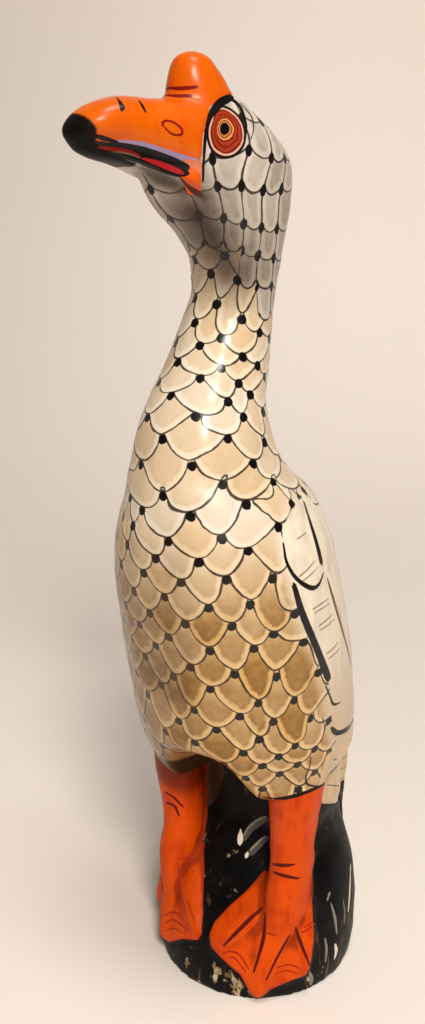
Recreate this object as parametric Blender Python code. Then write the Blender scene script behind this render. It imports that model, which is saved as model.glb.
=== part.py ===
"""A tall painted duck with a knobbed bill, carved with its mound from one log.

The bird faces -Y and turns its head to its own right. +Z is up, and the origin is the middle of the
mound's flat underside. All driving dimensions are in millimetres and become metres in the meshes.
"""

import math

import bpy
import numpy as np

MM = 0.001

# Driving dimensions, in millimetres
HEAD_TURN = 22.0  # degrees, towards the bird's right
HEAD_CENTRE = (-6.0, -22.0)
WING_LIFT = 2.2
ARCH_RISE = 24.0
ARCH_MIDDLE = 4.0
ARCH_HALF = 22.0
WEB_LIFT = 2.4
TOE_RIDGE = 2.2
DEGREE_REACH = 0.86  # along the mound's front, one degree of azimuth
CORE_FROM = 62.0
CORE_FULL = 82.0
CORE_SQUARE = 0.5
CORE_AHEAD = (-0.2, 0.1)  # cosine of the azimuth over which the core's front turns square

# Folded wing: heights with degrees from the front, then degrees or millimetres over which it rises or falls
WING_FRONT = ((125.0, 150.0, 175.0, 205.0, 245.0), (100.0, 88.0, 77.0, 67.0, 60.0))
WING_BACK = ((125.0, 160.0, 245.0), (138.0, 150.0, 150.0))
WING_FRONT_STEP = (-1.5, 3.5)
WING_BACK_STEP = (-8.0, 4.0)
WING_SHOULDER = (222.0, 258.0)
WING_SHOULDER_SIDE = 60.0
WING_TIP = (122.0, 130.0)
WING_TIP_SIDE = 118.0
WING_SLOPE = 0.12  # millimetres a degree

# Underside's arch between the legs: its fullness, and where along y it falls in front and behind
ARCH_FULLNESS = 2.5
ARCH_FRONT = (-48.0, -6.0)
ARCH_BACK = (16.0, 34.0)
ARCH_FRONT_SHARE = 0.62
ARCH_TOP = 150.0

# Fullness of the ovals: 1 is an ellipse, less is squarer
BILL_FULLNESS = (0.75, 0.8)
TAIL_FULLNESS = (0.7, 0.85)

# Mesh fineness, in millimetres, degrees and counts
GRAIN = 1.5
SMOOTH_PASSES = 6
SHARE_KEPT = 0.047
LEVEL_STEP = 1.5
RIM_LEVELS = 4
MOUND_LEVEL_STEP = 1.0
TRUNK_STEP = 3.0
MOUND_STEP = 1.2
SMALL_STEP = 7.5
STATIONS = 40
TABLE_CUT = (200.0, 40.0)  # half width and depth of the block that levels the underside

# Body, neck and skull: height, centre x, centre y, half width, reach forward, reach back, turn, front taper
TRUNK = (
    (106.8, 0.0, -9.0, 3.0, 3.0, 3.0, 0.0, 0.0),
    (108.0, 0.0, -9.0, 24.0, 22.0, 24.0, 0.0, 0.0),
    (111.0, 0.0, -9.0, 38.0, 36.0, 38.0, 0.0, 0.0),
    (117.0, 0.0, -9.5, 46.0, 44.0, 45.5, 0.0, 0.0),
    (127.0, 0.0, -11.0, 50.4, 49.5, 50.0, 0.0, 0.0),
    (141.0, 0.0, -14.5, 52.5, 52.5, 53.0, 0.0, 0.0),
    (168.0, 0.0, -19.5, 53.5, 54.0, 53.0, 0.0, 0.0),
    (196.0, 0.0, -25.0, 53.3, 54.0, 51.5, 0.0, 0.0),
    (223.0, 0.0, -31.0, 50.8, 54.0, 50.0, 0.0, 0.0),
    (248.0, -1.0, -33.5, 46.5, 50.5, 48.0, 0.0, 0.0),
    (260.0, -2.0, -34.0, 42.0, 46.5, 44.5, 0.0, 0.0),
    (273.0, -4.0, -39.5, 35.0, 38.5, 36.0, 0.0, 0.0),
    (297.0, -5.8, -39.0, 28.0, 30.8, 27.0, 0.0, 0.0),
    (321.0, -6.0, -28.5, 22.6, 24.6, 22.5, 4.0, 0.0),
    (341.0, -5.2, -22.0, 19.6, 20.2, 20.2, 12.0, 0.0),
    (349.0, -4.4, -20.5, 18.7, 19.0, 20.2, 16.0, 0.0),
    (356.0, -4.8, -20.0, 18.8, 18.5, 21.8, 19.0, 0.0),
    (362.0, -5.2, -20.0, 19.2, 18.7, 23.2, 21.0, 0.05),
    (374.0, -5.6, -21.0, 21.0, 25.0, 26.5, 22.0, 0.2),
    (381.0, -5.8, -21.5, 22.2, 32.0, 28.4, 22.0, 0.28),
    (389.0, -6.0, -22.0, 23.0, 39.0, 29.8, 22.0, 0.3),
    (400.0, -6.0, -22.0, 23.5, 43.0, 30.0, 22.0, 0.3),
    (410.0, -6.0, -22.0, 22.6, 40.0, 25.5, 22.0, 0.3),
    (418.0, -6.0, -22.0, 20.0, 36.0, 16.5, 22.0, 0.25),
    (426.0, -6.0, -22.0, 15.0, 28.0, 5.0, 22.0, 0.2),
    (431.0, -6.0, -24.0, 8.0, 18.0, 0.0, 22.0, 0.0),
)

# Bill, measured forward from the head's centre: distance, underside height, top height, half width
UPPER_BILL = (
    (8.0, 392.0, 428.0, 20.0),
    (22.0, 396.0, 429.0, 19.0),
    (31.0, 399.6, 429.0, 17.5),
    (48.0, 405.6, 429.3, 15.0),
    (60.0, 409.4, 428.6, 13.8),
    (68.0, 410.8, 425.4, 12.0),
    (74.0, 411.2, 421.0, 8.5),
    (77.2, 413.6, 417.5, 3.0),
)
LOWER_BILL = (
    (10.0, 386.5, 396.5, 19.5),
    (22.0, 390.0, 398.4, 18.4),
    (33.0, 395.2, 400.4, 16.2),
    (46.0, 400.4, 403.8, 13.4),
    (54.0, 403.0, 406.4, 12.2),
    (66.0, 406.0, 409.2, 9.4),
    (72.5, 408.6, 411.0, 5.0),
)
TONGUE = (
    (8.0, 388.0, 398.0, 19.0),
    (24.0, 392.0, 401.0, 18.4),
    (31.0, 395.0, 403.0, 16.8),
    (38.0, 398.0, 405.6, 13.8),
    (48.0, 401.0, 408.6, 12.2),
    (60.0, 404.6, 412.0, 10.6),
    (68.0, 406.6, 414.0, 8.4),
    (73.5, 408.6, 413.0, 4.5),
)

# Knob on the forehead: height, distance forward, half width, half length
KNOB = (
    (416.0, 14.0, 16.0, 17.0),
    (424.0, 15.0, 14.0, 15.0),
    (431.0, 15.2, 12.6, 14.0),
    (438.0, 16.4, 11.0, 12.2),
    (443.0, 17.6, 8.8, 9.4),
    (446.5, 18.0, 5.8, 6.2),
    (448.2, 18.0, 1.5, 1.5),
)

# Mound and the core that joins it to the belly: height, centre y, half width, reach forward, reach back
MOUND = (
    (-6.0, -1.0, 50.0, 50.0, 54.0),
    (0.0, -1.0, 50.6, 50.6, 55.0),
    (12.0, -0.5, 51.8, 50.0, 56.5),
    (28.0, 1.5, 51.5, 47.0, 55.5),
    (45.0, 5.0, 48.0, 41.0, 51.0),
    (60.0, 8.5, 42.0, 34.0, 46.0),
    (70.0, 11.0, 37.5, 29.5, 41.5),
    (78.0, 13.0, 35.5, 26.5, 38.0),
    (88.0, 13.0, 37.5, 26.5, 34.0),
    (98.0, 12.0, 38.0, 26.5, 32.0),
    (108.0, 10.0, 39.0, 27.0, 31.0),
    (122.0, 4.0, 40.0, 30.0, 32.0),
)

# Leg and instep: height, distance from the middle plane, centre y, half width, half depth
LEG = (
    (24.0, 32.0, -24.0, 7.0, 11.5),
    (36.0, 32.4, -24.0, 9.2, 13.2),
    (48.0, 32.8, -24.0, 10.4, 14.0),
    (60.0, 33.0, -22.5, 10.4, 14.0),
    (70.0, 33.2, -19.5, 10.3, 14.5),
    (79.0, 33.6, -21.0, 10.6, 12.0),
    (95.0, 34.4, -21.5, 11.8, 13.0),
    (112.0, 35.0, -21.0, 13.4, 15.5),
    (128.0, 35.0, -20.0, 14.4, 17.0),
)

# Feet on the mound's front: azimuth away from the middle plane in degrees, and height, of each corner
LEFT_FOOT = (
    (30.0, 61.0),
    (21.8, 52.9),
    (9.6, 43.2),
    (2.4, 35.1),
    (1.5, 29.6),
    (3.7, 24.0),
    (13.3, 19.0),
    (23.4, 14.2),
    (30.6, 3.3),
    (34.1, 1.0),
    (40.3, 7.0),
    (51.9, 10.4),
    (61.5, 11.5),
    (63.5, 31.9),
    (63.0, 46.0),
    (61.0, 61.0),
)
RIGHT_FOOT = (
    (33.0, 61.0),
    (21.1, 52.2),
    (14.6, 45.4),
    (7.3, 36.0),
    (4.0, 28.0),
    (6.2, 23.4),
    (18.0, 19.5),
    (31.0, 10.5),
    (36.5, 10.5),
    (48.5, 13.5),
    (60.5, 18.0),
    (62.5, 32.0),
    (62.5, 46.0),
    (61.0, 61.0),
)
TOES = (((30.0, 50.0), (6.5, 29.0)), ((38.0, 47.0), (34.0, 6.0)), ((53.0, 47.0), (60.5, 17.0)))
TOE_WIDTHS = ((5.0, 3.6), (7.0, 2.6), (5.0, 2.6))  # half widths at the ankle and at the tip
WEB_EDGE = (-1.4, 0.9)  # distance inside the outline over which the web rises
TOE_EDGE = (-1.5, 1.2)  # distance beyond a toe's half width over which the toe falls
TOE_END = (-1.0, 1.5)  # distance inside the outline over which a toe's end rises

# Tail: height, middle y, half width, half thickness
TAIL = (
    (30.0, 57.0, 14.5, 4.0),
    (36.0, 58.0, 18.0, 5.0),
    (60.0, 58.5, 19.5, 6.0),
    (80.0, 57.0, 21.5, 7.5),
    (100.0, 51.0, 25.0, 11.0),
    (118.0, 41.5, 28.5, 14.5),
    (132.0, 32.0, 27.5, 16.5),
    (150.0, 21.0, 21.0, 16.5),
    (170.0, 8.0, 13.0, 16.5),
)


def through(table, along):
    """Reads a table of stations at the given values of its first column, on a smooth curve."""
    table = np.array(table, float)
    at, values = table[:, 0], table[:, 1:]
    steps = np.diff(at)[:, None]
    slopes = np.diff(values, axis=0) / steps
    tangents = np.empty_like(values)
    tangents[0], tangents[-1] = slopes[0], slopes[-1]
    both = slopes[:-1] * slopes[1:]
    mean = (slopes[:-1] * steps[1:] + slopes[1:] * steps[:-1]) / (steps[1:] + steps[:-1])
    tangents[1:-1] = np.where(both > 0, mean, 0.5 * mean)
    index = np.clip(np.searchsorted(at, along, side="right") - 1, 0, len(at) - 2)
    width = (at[index + 1] - at[index])[:, None]
    t = ((along - at[index])[:, None]) / width
    return (
        values[index] * (2 * t**3 - 3 * t**2 + 1)
        + tangents[index] * width * (t**3 - 2 * t**2 + t)
        + values[index + 1] * (3 * t**2 - 2 * t**3)
        + tangents[index + 1] * width * (t**3 - t**2)
    )


def ramp(value, low, high):
    """0 below low, 1 above high, smooth between."""
    t = np.clip((value - low) / (high - low), 0, 1)
    return t * t * (3 - 2 * t)


def rounded(wave, power):
    """A sine or cosine made fuller, for ovals with flatter sides."""
    return np.sign(wave) * np.abs(wave) ** power


def skin(rings):
    """Points and faces of a closed tube through equal rings, with a flat cap at each end."""
    count, around = rings.shape[:2]
    points = rings.reshape(-1, 3) * MM
    faces = []
    for row in range(count - 1):
        for k in range(around):
            a = row * around + k
            b = row * around + (k + 1) % around
            faces.append((a, b, b + around, a + around))
    faces.append(tuple(range(around))[::-1])
    faces.append(tuple(range((count - 1) * around, count * around)))
    return points, faces


def head_frame():
    """Unit vectors of the turned head: forward, and towards its left side."""
    turn = math.radians(HEAD_TURN)
    forward = np.array((-math.sin(turn), -math.cos(turn)))
    left = np.array((math.cos(turn), -math.sin(turn)))
    return forward, left


def wing(azimuth, height):
    """How far the folded wing stands out, as a share of its lift. Azimuth is 0 in front, 90 at the side."""
    side = np.abs(azimuth)
    front = np.interp(height, *WING_FRONT)
    back = np.interp(height, *WING_BACK)
    across = ramp(side, front + WING_FRONT_STEP[0], front + WING_FRONT_STEP[1])
    across = across * (1 - ramp(side, back + WING_BACK_STEP[0], back + WING_BACK_STEP[1]))
    shoulder = 1 - ramp(height, WING_SHOULDER[0] + WING_SLOPE * (side - WING_SHOULDER_SIDE), WING_SHOULDER[1])
    rise = WING_SLOPE * np.abs(side - WING_TIP_SIDE)
    return across * shoulder * ramp(height, WING_TIP[0] + rise, WING_TIP[1] + rise)


def arch(x, y, height):
    """How far the belly's underside rises between the legs: most in front, and less over the mound."""
    across = 1 - np.clip(np.abs(x - ARCH_MIDDLE) / ARCH_HALF, 0, 1) ** ARCH_FULLNESS
    along = 1 - ARCH_FRONT_SHARE * ramp(y, *ARCH_FRONT) - (1 - ARCH_FRONT_SHARE) * ramp(y, *ARCH_BACK)
    return ARCH_RISE * across * along * (1 - ramp(height, TRUNK[1][0], ARCH_TOP))


def trunk():
    """Body, neck and skull: level sections, each an oval with its own reach forward and back."""
    lowest, rim = TRUNK[0][0], TRUNK[1][0]
    above = np.arange(rim, TRUNK[-1][0] + LEVEL_STEP / 2, LEVEL_STEP)
    heights = np.concatenate((np.linspace(lowest, rim, RIM_LEVELS)[:-1], above))
    azimuth = np.arange(-180.0, 180.0, TRUNK_STEP)
    rows = through(TRUNK, heights)
    rings = []
    for height, (x, y, half, ahead, behind, turn, taper) in zip(heights, rows):
        a = np.radians(azimuth)
        c, s = np.cos(a), np.sin(a)
        forward = np.where(c > 0, ahead * c, behind * c)
        side = half * s * (1 - taper * np.maximum(c, 0) ** 2)
        grow = 1 + WING_LIFT * wing(azimuth, height) / np.maximum(half, 1)
        turn = math.radians(turn)
        f = np.array((-math.sin(turn), -math.cos(turn)))
        r = np.array((math.cos(turn), -math.sin(turn)))
        flat = np.outer(forward * grow, f) + np.outer(side * grow, r) + (x, y)
        rings.append(np.column_stack((flat, height + arch(flat[:, 0], flat[:, 1], height))))
    return skin(np.array(rings))


def bill(table):
    """One half of the bill: upright ovals strung along the head's forward line."""
    forward, left = head_frame()
    distances = np.linspace(table[0][0], table[-1][0], STATIONS)
    a = np.radians(np.arange(0.0, 360.0, SMALL_STEP))
    rings = []
    for distance, (low, high, half) in zip(distances, through(table, distances)):
        middle = np.array(HEAD_CENTRE) + distance * forward
        flat = middle + np.outer(half * rounded(np.cos(a), BILL_FULLNESS[0]), left)
        up = (low + high) / 2 + (high - low) / 2 * rounded(np.sin(a), BILL_FULLNESS[1])
        rings.append(np.column_stack((flat, up)))
    return skin(np.array(rings)[::-1])


def knob():
    """The rounded horn on the forehead."""
    forward, left = head_frame()
    heights = np.linspace(KNOB[0][0], KNOB[-1][0], STATIONS)
    a = np.radians(np.arange(0.0, 360.0, SMALL_STEP))
    rings = []
    for height, (ahead, half, long) in zip(heights, through(KNOB, heights)):
        middle = np.array(HEAD_CENTRE) + ahead * forward
        flat = middle + np.outer(long * np.cos(a), -forward) + np.outer(half * np.sin(a), left)
        rings.append(np.column_stack((flat, np.full(len(a), height))))
    return skin(np.array(rings))


def beside(azimuth, height, a, b):
    """Distance in millimetres from points on the mound to the line from a to b, and how far along it."""
    p = np.stack((azimuth * DEGREE_REACH, height), -1)
    a = np.array((a[0] * DEGREE_REACH, a[1]))
    b = np.array((b[0] * DEGREE_REACH, b[1]))
    t = np.clip(((p - a) @ (b - a)) / ((b - a) @ (b - a)), 0, 1)
    return np.linalg.norm(p - a - t[..., None] * (b - a), axis=-1), t


def inside(azimuth, height, outline):
    """Whether each point lies in the outline, by counting crossings."""
    found = np.zeros(azimuth.shape, bool)
    for (x0, y0), (x1, y1) in zip(outline, outline[1:] + outline[:1]):
        crosses = (y0 > height) != (y1 > height)
        if y0 != y1:
            found ^= crosses & (azimuth < (x1 - x0) * (height - y0) / (y1 - y0) + x0)
    return found


def foot(azimuth, height, outline):
    """How far one webbed foot stands out of the mound, in millimetres. Azimuth runs away from the middle."""
    edge = np.full(azimuth.shape, 99.0)
    for a, b in zip(outline, outline[1:] + outline[:1]):
        edge = np.minimum(edge, beside(azimuth, height, a, b)[0])
    depth = np.where(inside(azimuth, height, outline), edge, -edge)
    lift = WEB_LIFT * ramp(depth, *WEB_EDGE)
    for (a, b), (wide, narrow) in zip(TOES, TOE_WIDTHS):
        away, along = beside(azimuth, height, a, b)
        half = wide + (narrow - wide) * along
        ridge = 1 - ramp(away - half, *TOE_EDGE)
        lift = lift + TOE_RIDGE * ridge * ramp(depth, *TOE_END)
    return lift


def mound():
    """The dark rock with both webbed feet standing out of its front, and its core up into the belly."""
    heights = np.arange(MOUND[0][0], MOUND[-1][0] + MOUND_LEVEL_STEP / 2, MOUND_LEVEL_STEP)
    azimuth = np.arange(-180.0, 180.0, MOUND_STEP)
    rings = []
    for height, (y, half, ahead, behind) in zip(heights, through(MOUND, heights)):
        a = np.radians(azimuth)
        c, s = np.cos(a), np.sin(a)
        level = np.full(len(azimuth), height)
        lift = foot(azimuth, level, LEFT_FOOT) + foot(-azimuth, level, RIGHT_FOOT)
        fuller = 1 - CORE_SQUARE * ramp(height, CORE_FROM, CORE_FULL) * ramp(c, *CORE_AHEAD)
        forward = np.where(c > 0, ahead, behind) * rounded(c, fuller) + lift * c
        side = half * rounded(s, fuller) + lift * s
        rings.append(np.column_stack((side, y - forward, level)))
    return skin(np.array(rings))


def leg(sign):
    """A straight leg from the foot into the belly."""
    heights = np.linspace(LEG[0][0], LEG[-1][0], STATIONS)
    a = np.radians(np.arange(0.0, 360.0, SMALL_STEP))
    rings = []
    for height, (out, y, half, deep) in zip(heights, through(LEG, heights)):
        x = sign * out + half * np.cos(a)
        rings.append(np.column_stack((x, y + deep * np.sin(a), np.full(len(a), height))))
    return skin(np.array(rings))


def tail():
    """The flat tail that hangs from the rump to the back of the mound."""
    heights = np.linspace(TAIL[0][0], TAIL[-1][0], STATIONS)
    a = np.radians(np.arange(0.0, 360.0, SMALL_STEP))
    c, s = np.cos(a), np.sin(a)
    rings = []
    for height, (y, half, thick) in zip(heights, through(TAIL, heights)):
        level = np.full(len(a), height)
        side = half * rounded(c, TAIL_FULLNESS[0])
        rings.append(np.column_stack((side, y + thick * rounded(s, TAIL_FULLNESS[1]), level)))
    return skin(np.array(rings))


def add_modifier(carving, name, kind, **values):
    modifier = carving.modifiers.new(name, kind)
    for key, value in values.items():
        setattr(modifier, key, value)


def painted_wood():
    material = bpy.data.materials.new("painted_wood")
    material.use_nodes = True
    shader = material.node_tree.nodes["Principled BSDF"]
    shader.inputs["Base Color"].default_value = (0.66, 0.52, 0.35, 1.0)
    shader.inputs["Roughness"].default_value = 0.35
    return material


def main():
    for old in list(bpy.data.objects):
        bpy.data.objects.remove(old)
    points, faces = [], []
    for more_points, more_faces in (
        trunk(),
        bill(UPPER_BILL),
        bill(LOWER_BILL),
        bill(TONGUE),
        knob(),
        mound(),
        leg(1),
        leg(-1),
        tail(),
    ):
        start = sum(len(p) for p in points)
        points.append(more_points)
        faces += [tuple(start + k for k in face) for face in more_faces]
    mesh = bpy.data.meshes.new("duck_carving")
    mesh.from_pydata(np.vstack(points).tolist(), [], faces)
    mesh.materials.append(painted_wood())
    carving = bpy.data.objects.new("duck_carving", mesh)
    bpy.context.scene.collection.objects.link(carving)

    table = bpy.data.meshes.new("table_cutter")
    size, depth = TABLE_CUT[0] * MM, TABLE_CUT[1] * MM
    corners = [(x * size, y * size, z * depth) for z in (-1, 0) for y in (-1, 1) for x in (-1, 1)]
    sides = [(0, 2, 3, 1), (4, 5, 7, 6), (0, 1, 5, 4), (2, 6, 7, 3), (0, 4, 6, 2), (1, 3, 7, 5)]
    table.from_pydata(corners, [], sides)
    cutter = bpy.data.objects.new("table_cutter", table)
    cutter.hide_render = True
    cutter.display_type = "WIRE"
    bpy.context.scene.collection.objects.link(cutter)

    add_modifier(carving, "One body", "REMESH", mode="VOXEL", voxel_size=GRAIN * MM)
    add_modifier(carving, "Sanded", "SMOOTH", factor=0.5, iterations=SMOOTH_PASSES)
    add_modifier(carving, "Facets", "DECIMATE", ratio=SHARE_KEPT)
    add_modifier(carving, "Flat underside", "BOOLEAN", operation="DIFFERENCE", solver="EXACT", object=cutter)


main()
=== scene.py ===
import math

import bmesh
import bpy
import numpy as np
from mathutils import Matrix, Vector
from mathutils.bvhtree import BVHTree


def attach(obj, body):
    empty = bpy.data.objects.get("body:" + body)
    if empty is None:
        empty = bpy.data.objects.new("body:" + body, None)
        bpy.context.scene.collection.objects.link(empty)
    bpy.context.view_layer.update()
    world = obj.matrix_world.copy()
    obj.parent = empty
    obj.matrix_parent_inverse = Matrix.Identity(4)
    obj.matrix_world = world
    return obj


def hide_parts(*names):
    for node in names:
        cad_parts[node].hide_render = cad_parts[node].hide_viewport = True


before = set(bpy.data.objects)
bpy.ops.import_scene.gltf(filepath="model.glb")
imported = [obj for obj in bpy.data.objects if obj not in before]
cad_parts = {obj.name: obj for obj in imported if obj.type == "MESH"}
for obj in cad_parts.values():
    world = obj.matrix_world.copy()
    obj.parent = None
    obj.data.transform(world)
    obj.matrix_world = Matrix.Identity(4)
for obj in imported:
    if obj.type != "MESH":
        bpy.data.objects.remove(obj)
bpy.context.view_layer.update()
print("frame read")

# The place the photo was taken from, in metres and degrees
photoEye = {
    "azimuth": 32.0,  # from the bird's front towards its left side
    "distance": 0.513,
    "height": 0.399,
    "lookDown": 17.0,
    "lookLeft": 2.7,
    "focalPixels": 1100.0,
    "width": 425,
    "tall": 1024,
    "sensor": 36.0,  # millimetres
    "clipStart": 0.01,
}

# The head's own frame, in millimetres and degrees
headFrame = {"turn": 22.0, "centreX": -6.0, "centreY": -22.0}

# The carving's surface, in millimetres
carvingLook = {
    "voxel": 1.4,
    "sandPasses": 14,
    "toolWave": 0.16,  # height of the knife's soft facets
    "toolLength": 17.0,
    "toolLengths": (0.7, 1.6),  # shortest and longest, as shares of that
    "toolWaves": 26,
    "toolFrom": (2.0, 12.0),  # heights over which the facets begin
    "foot": 0.4,  # what lies lower stays flat
    "shares": (0.5, -0.52),  # how far a point goes to the mean of its neighbours, and back
    "seed": 5,
}


tiny, huge = 1e-6, 1e9  # bounds for lengths and distances


def ramp(value, low, high):
    t = np.clip((value - low) / (high - low), 0, 1)
    return t * t * (3 - 2 * t)


# The mesh
def copyOfNode(name):
    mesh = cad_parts[name].data.copy()
    mesh.name = name + "_look"
    work = bmesh.new()
    work.from_mesh(mesh)
    bmesh.ops.remove_doubles(work, verts=work.verts, dist=tiny)
    work.to_mesh(mesh)
    work.free()
    piece = bpy.data.objects.new(name + "_look", mesh)
    bpy.context.scene.collection.objects.link(piece)
    return piece


def settle(piece):
    graph = bpy.context.evaluated_depsgraph_get()
    mesh = bpy.data.meshes.new_from_object(piece.evaluated_get(graph))
    piece.modifiers.clear()
    old = piece.data
    piece.data = mesh
    bpy.data.meshes.remove(old)


def readAll(items, name, size, kind):
    values = np.empty(len(items) * size, kind)
    items.foreach_get(name, values)
    return values if size == 1 else values.reshape(-1, size)


def pointsOf(mesh):
    return readAll(mesh.vertices, "co", 3, np.float32).astype(float)


def normalsOf(mesh):
    return readAll(mesh.vertices, "normal", 3, np.float32).astype(float)


def edgesOf(mesh):
    return readAll(mesh.edges, "vertices", 2, np.int32)


def meanOfNeighbours(values, edges, count):
    total = np.zeros_like(values)
    for axis in range(values.shape[1]):
        total[:, axis] = np.bincount(edges[:, 0], values[edges[:, 1], axis], count)
        total[:, axis] += np.bincount(edges[:, 1], values[edges[:, 0], axis], count)
    return total / np.maximum(np.bincount(edges.ravel(), minlength=count), 1)[:, None]


def sand(mesh, passes):
    # Each pass smooths, then swells back, so that thin places keep their size
    points, edges = pointsOf(mesh), edgesOf(mesh)
    flat = points[:, 2] < carvingLook["foot"] * 0.001
    for number in range(passes):
        for share in carvingLook["shares"]:
            step = share * (meanOfNeighbours(points, edges, len(points)) - points)
            step[flat, 2] = 0
            points += step
    mesh.vertices.foreach_set("co", points.astype(np.float32).ravel())
    mesh.update()


def softWaves(points):
    # A smooth random height from a sum of plane waves
    chance = np.random.default_rng(carvingLook["seed"])
    count, length = carvingLook["toolWaves"], carvingLook["toolLength"]
    total = np.zeros(len(points))
    for number in range(count):
        way = chance.normal(size=3)
        way /= np.linalg.norm(way)
        turns = points @ way * (2 * math.pi / (length * chance.uniform(*carvingLook["toolLengths"])))
        total += np.sin(turns + chance.uniform(0, 2 * math.pi))
    return total / math.sqrt(count / 2)


duck = copyOfNode("duck_carving")
remesh = duck.modifiers.new("One skin", "REMESH")
remesh.mode = "VOXEL"
remesh.voxel_size = carvingLook["voxel"] * 0.001
settle(duck)
sand(duck.data, carvingLook["sandPasses"])
tooled = pointsOf(duck.data)
wave = carvingLook["toolWave"] * softWaves(tooled * 1000)
wave *= ramp(tooled[:, 2] * 1000, *carvingLook["toolFrom"])
tooled += normalsOf(duck.data) * wave[:, None] * 0.001
duck.data.vertices.foreach_set("co", tooled.astype(np.float32).ravel())
duck.data.update()
for polygon in duck.data.polygons:
    polygon.use_smooth = True
points = pointsOf(duck.data) * 1000  # millimetres from here on
normals = normalsOf(duck.data)
print("carving", len(points), "points")


# Lines of sight of the photo
def eyeAxes():
    a = math.radians(photoEye["azimuth"])
    far = photoEye["distance"]
    place = np.array((far * math.sin(a), -far * math.cos(a), photoEye["height"]))
    level = a + math.radians(photoEye["lookLeft"])
    down = math.radians(photoEye["lookDown"])
    ahead = np.array((-math.sin(level) * math.cos(down), math.cos(level) * math.cos(down), -math.sin(down)))
    right = np.array((math.cos(level), math.sin(level), 0.0))
    return place, ahead, right, np.cross(right, ahead)


skinTree = BVHTree.FromPolygons(
    [Vector(p) for p in (points * 0.001).tolist()], [tuple(f.vertices) for f in duck.data.polygons]
)


def castOne(x, y):
    # The point of the carving under a pixel of the photo, or None beside it
    place, ahead, right, up = eyeAxes()
    focal = photoEye["focalPixels"]
    way = ahead + (x - photoEye["width"] / 2) / focal * right - (y - photoEye["tall"] / 2) / focal * up
    hit = skinTree.ray_cast(Vector(place), Vector(way).normalized())
    return None if hit[0] is None else np.array(hit[0]) * 1000


def cast(pixels):
    found = [castOne(*pixel[:2]) for pixel in pixels]
    return np.array([f for f in found if f is not None])


turn = math.radians(headFrame["turn"])
headAhead = np.array((-math.sin(turn), -math.cos(turn), 0.0))
headLeft = np.array((math.cos(turn), -math.sin(turn), 0.0))
headCentre = np.array((headFrame["centreX"], headFrame["centreY"], 0.0))


def inHead(where):
    # Distance ahead of the head's centre, distance to its left, and height
    return np.stack(((where - headCentre) @ headAhead, (where - headCentre) @ headLeft, where[..., 2]), -1)


# Charts on the carving
trunkSpine = {  # height: centre x, centre y
    "height": (100, 141, 168, 196, 223, 248, 260, 273, 297, 321, 341, 356, 374, 431),
    "x": (0, 0, 0, 0, 0, -1, -2, -4, -5, -5, -4.6, -4.8, -5.6, -6),
    "y": (-9, -14.5, -19.5, -25, -31, -33.5, -34, -39.5, -39, -28.5, -22, -20, -21, -22),
}
moundSpine = {"height": (0, 12, 28, 45, 60, 70, 78, 98), "y": (-1, -0.5, 1.5, 5, 8.5, 11, 13, 12)}


def aroundTrunk(where):
    # Degrees from the bird's front, positive on its left
    x = where[..., 0] - np.interp(where[..., 2], trunkSpine["height"], trunkSpine["x"])
    y = where[..., 1] - np.interp(where[..., 2], trunkSpine["height"], trunkSpine["y"])
    return np.degrees(np.arctan2(x, -y))


def aroundMound(where):
    y = where[..., 1] - np.interp(where[..., 2], moundSpine["height"], moundSpine["y"])
    return np.degrees(np.arctan2(where[..., 0], -y))


def nearBox(line, reach):
    # Which points of the carving lie in the line's box or near it
    return (points > line.min(0) - reach).all(1) & (points < line.max(0) + reach).all(1)


def nearestOnLine(flat, line):
    # Distance to a polyline in two or three dimensions
    best = np.full(len(flat), huge)
    for a, b in zip(line[:-1], line[1:]):
        step = b - a
        share = np.clip((flat - a) @ step / max(step @ step, tiny**2), 0, 1)
        best = np.minimum(best, np.linalg.norm(flat - a - share[:, None] * step, axis=1))
    return best


def depthInside(flat, outline):
    # Distance to the outline of a closed flat shape, positive inside it
    outline = np.array(outline, float)
    ring = np.vstack((outline, outline[:1]))
    within = np.zeros(len(flat), bool)
    for (x0, y0), (x1, y1) in zip(ring[:-1], ring[1:]):
        if y0 != y1:
            crosses = (y0 > flat[:, 1]) != (y1 > flat[:, 1])
            within ^= crosses & (flat[:, 0] < (x1 - x0) * (flat[:, 1] - y0) / (y1 - y0) + x0)
    away = nearestOnLine(flat, ring)
    return np.where(within, away, -away)


def storeVectors(mesh, name, values):
    layer = mesh.attributes.new(name, "FLOAT_VECTOR", "POINT")
    layer.data.foreach_set("vector", np.ascontiguousarray(values, np.float32).ravel())


# Where each paint lies, in millimetres from its edge and positive inside
billPaint = {
    # Distance ahead of the head's centre and height
    "edge": (
        (-6, 434), (6.3, 430.8), (12.5, 429), (18.6, 425.8), (22.8, 420), (24.8, 414), (25.2, 406),
        (25.2, 398), (24.6, 391), (29, 391.6), (33, 397.5), (38, 401.5), (44, 403.5), (52, 405.5),
        (60, 407.5), (70, 408), (84, 409), (90, 440), (30, 460), (-6, 460),
    ),
    "tip": (
        (71.8, 440), (73.6, 424), (71.5, 420.6), (69.0, 416.2), (68.0, 411), (64, 408.5), (52, 404),
        (50, 396), (95, 396), (95, 440),
    ),
    "lowest": 380,
}
footPaint = {
    # Degrees away from the middle plane and height on the mound
    "left": (
        (30.0, 60.0), (21.8, 52.9), (9.6, 43.2), (2.4, 35.1), (1.5, 29.6), (3.7, 24.0), (13.3, 19.0),
        (23.4, 14.2), (30.6, 3.3), (34.1, 1.0), (40.3, 7.0), (51.9, 10.4), (61.5, 11.5), (63.5, 31.9),
        (63.0, 46.0), (60.0, 62.0),
    ),
    "right": (
        (33.0, 61.0), (21.1, 52.2), (14.6, 45.4), (7.3, 36.0), (4.0, 28.0), (6.2, 23.4), (18.0, 19.5),
        (31.0, 10.5), (36.5, 10.5), (48.5, 13.5), (60.5, 18.0), (62.5, 32.0), (62.5, 46.0), (60.0, 62.0),
    ),
    "degreeReach": 0.86,  # millimetres to a degree on the mound
    "furthest": 90,
}
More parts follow.
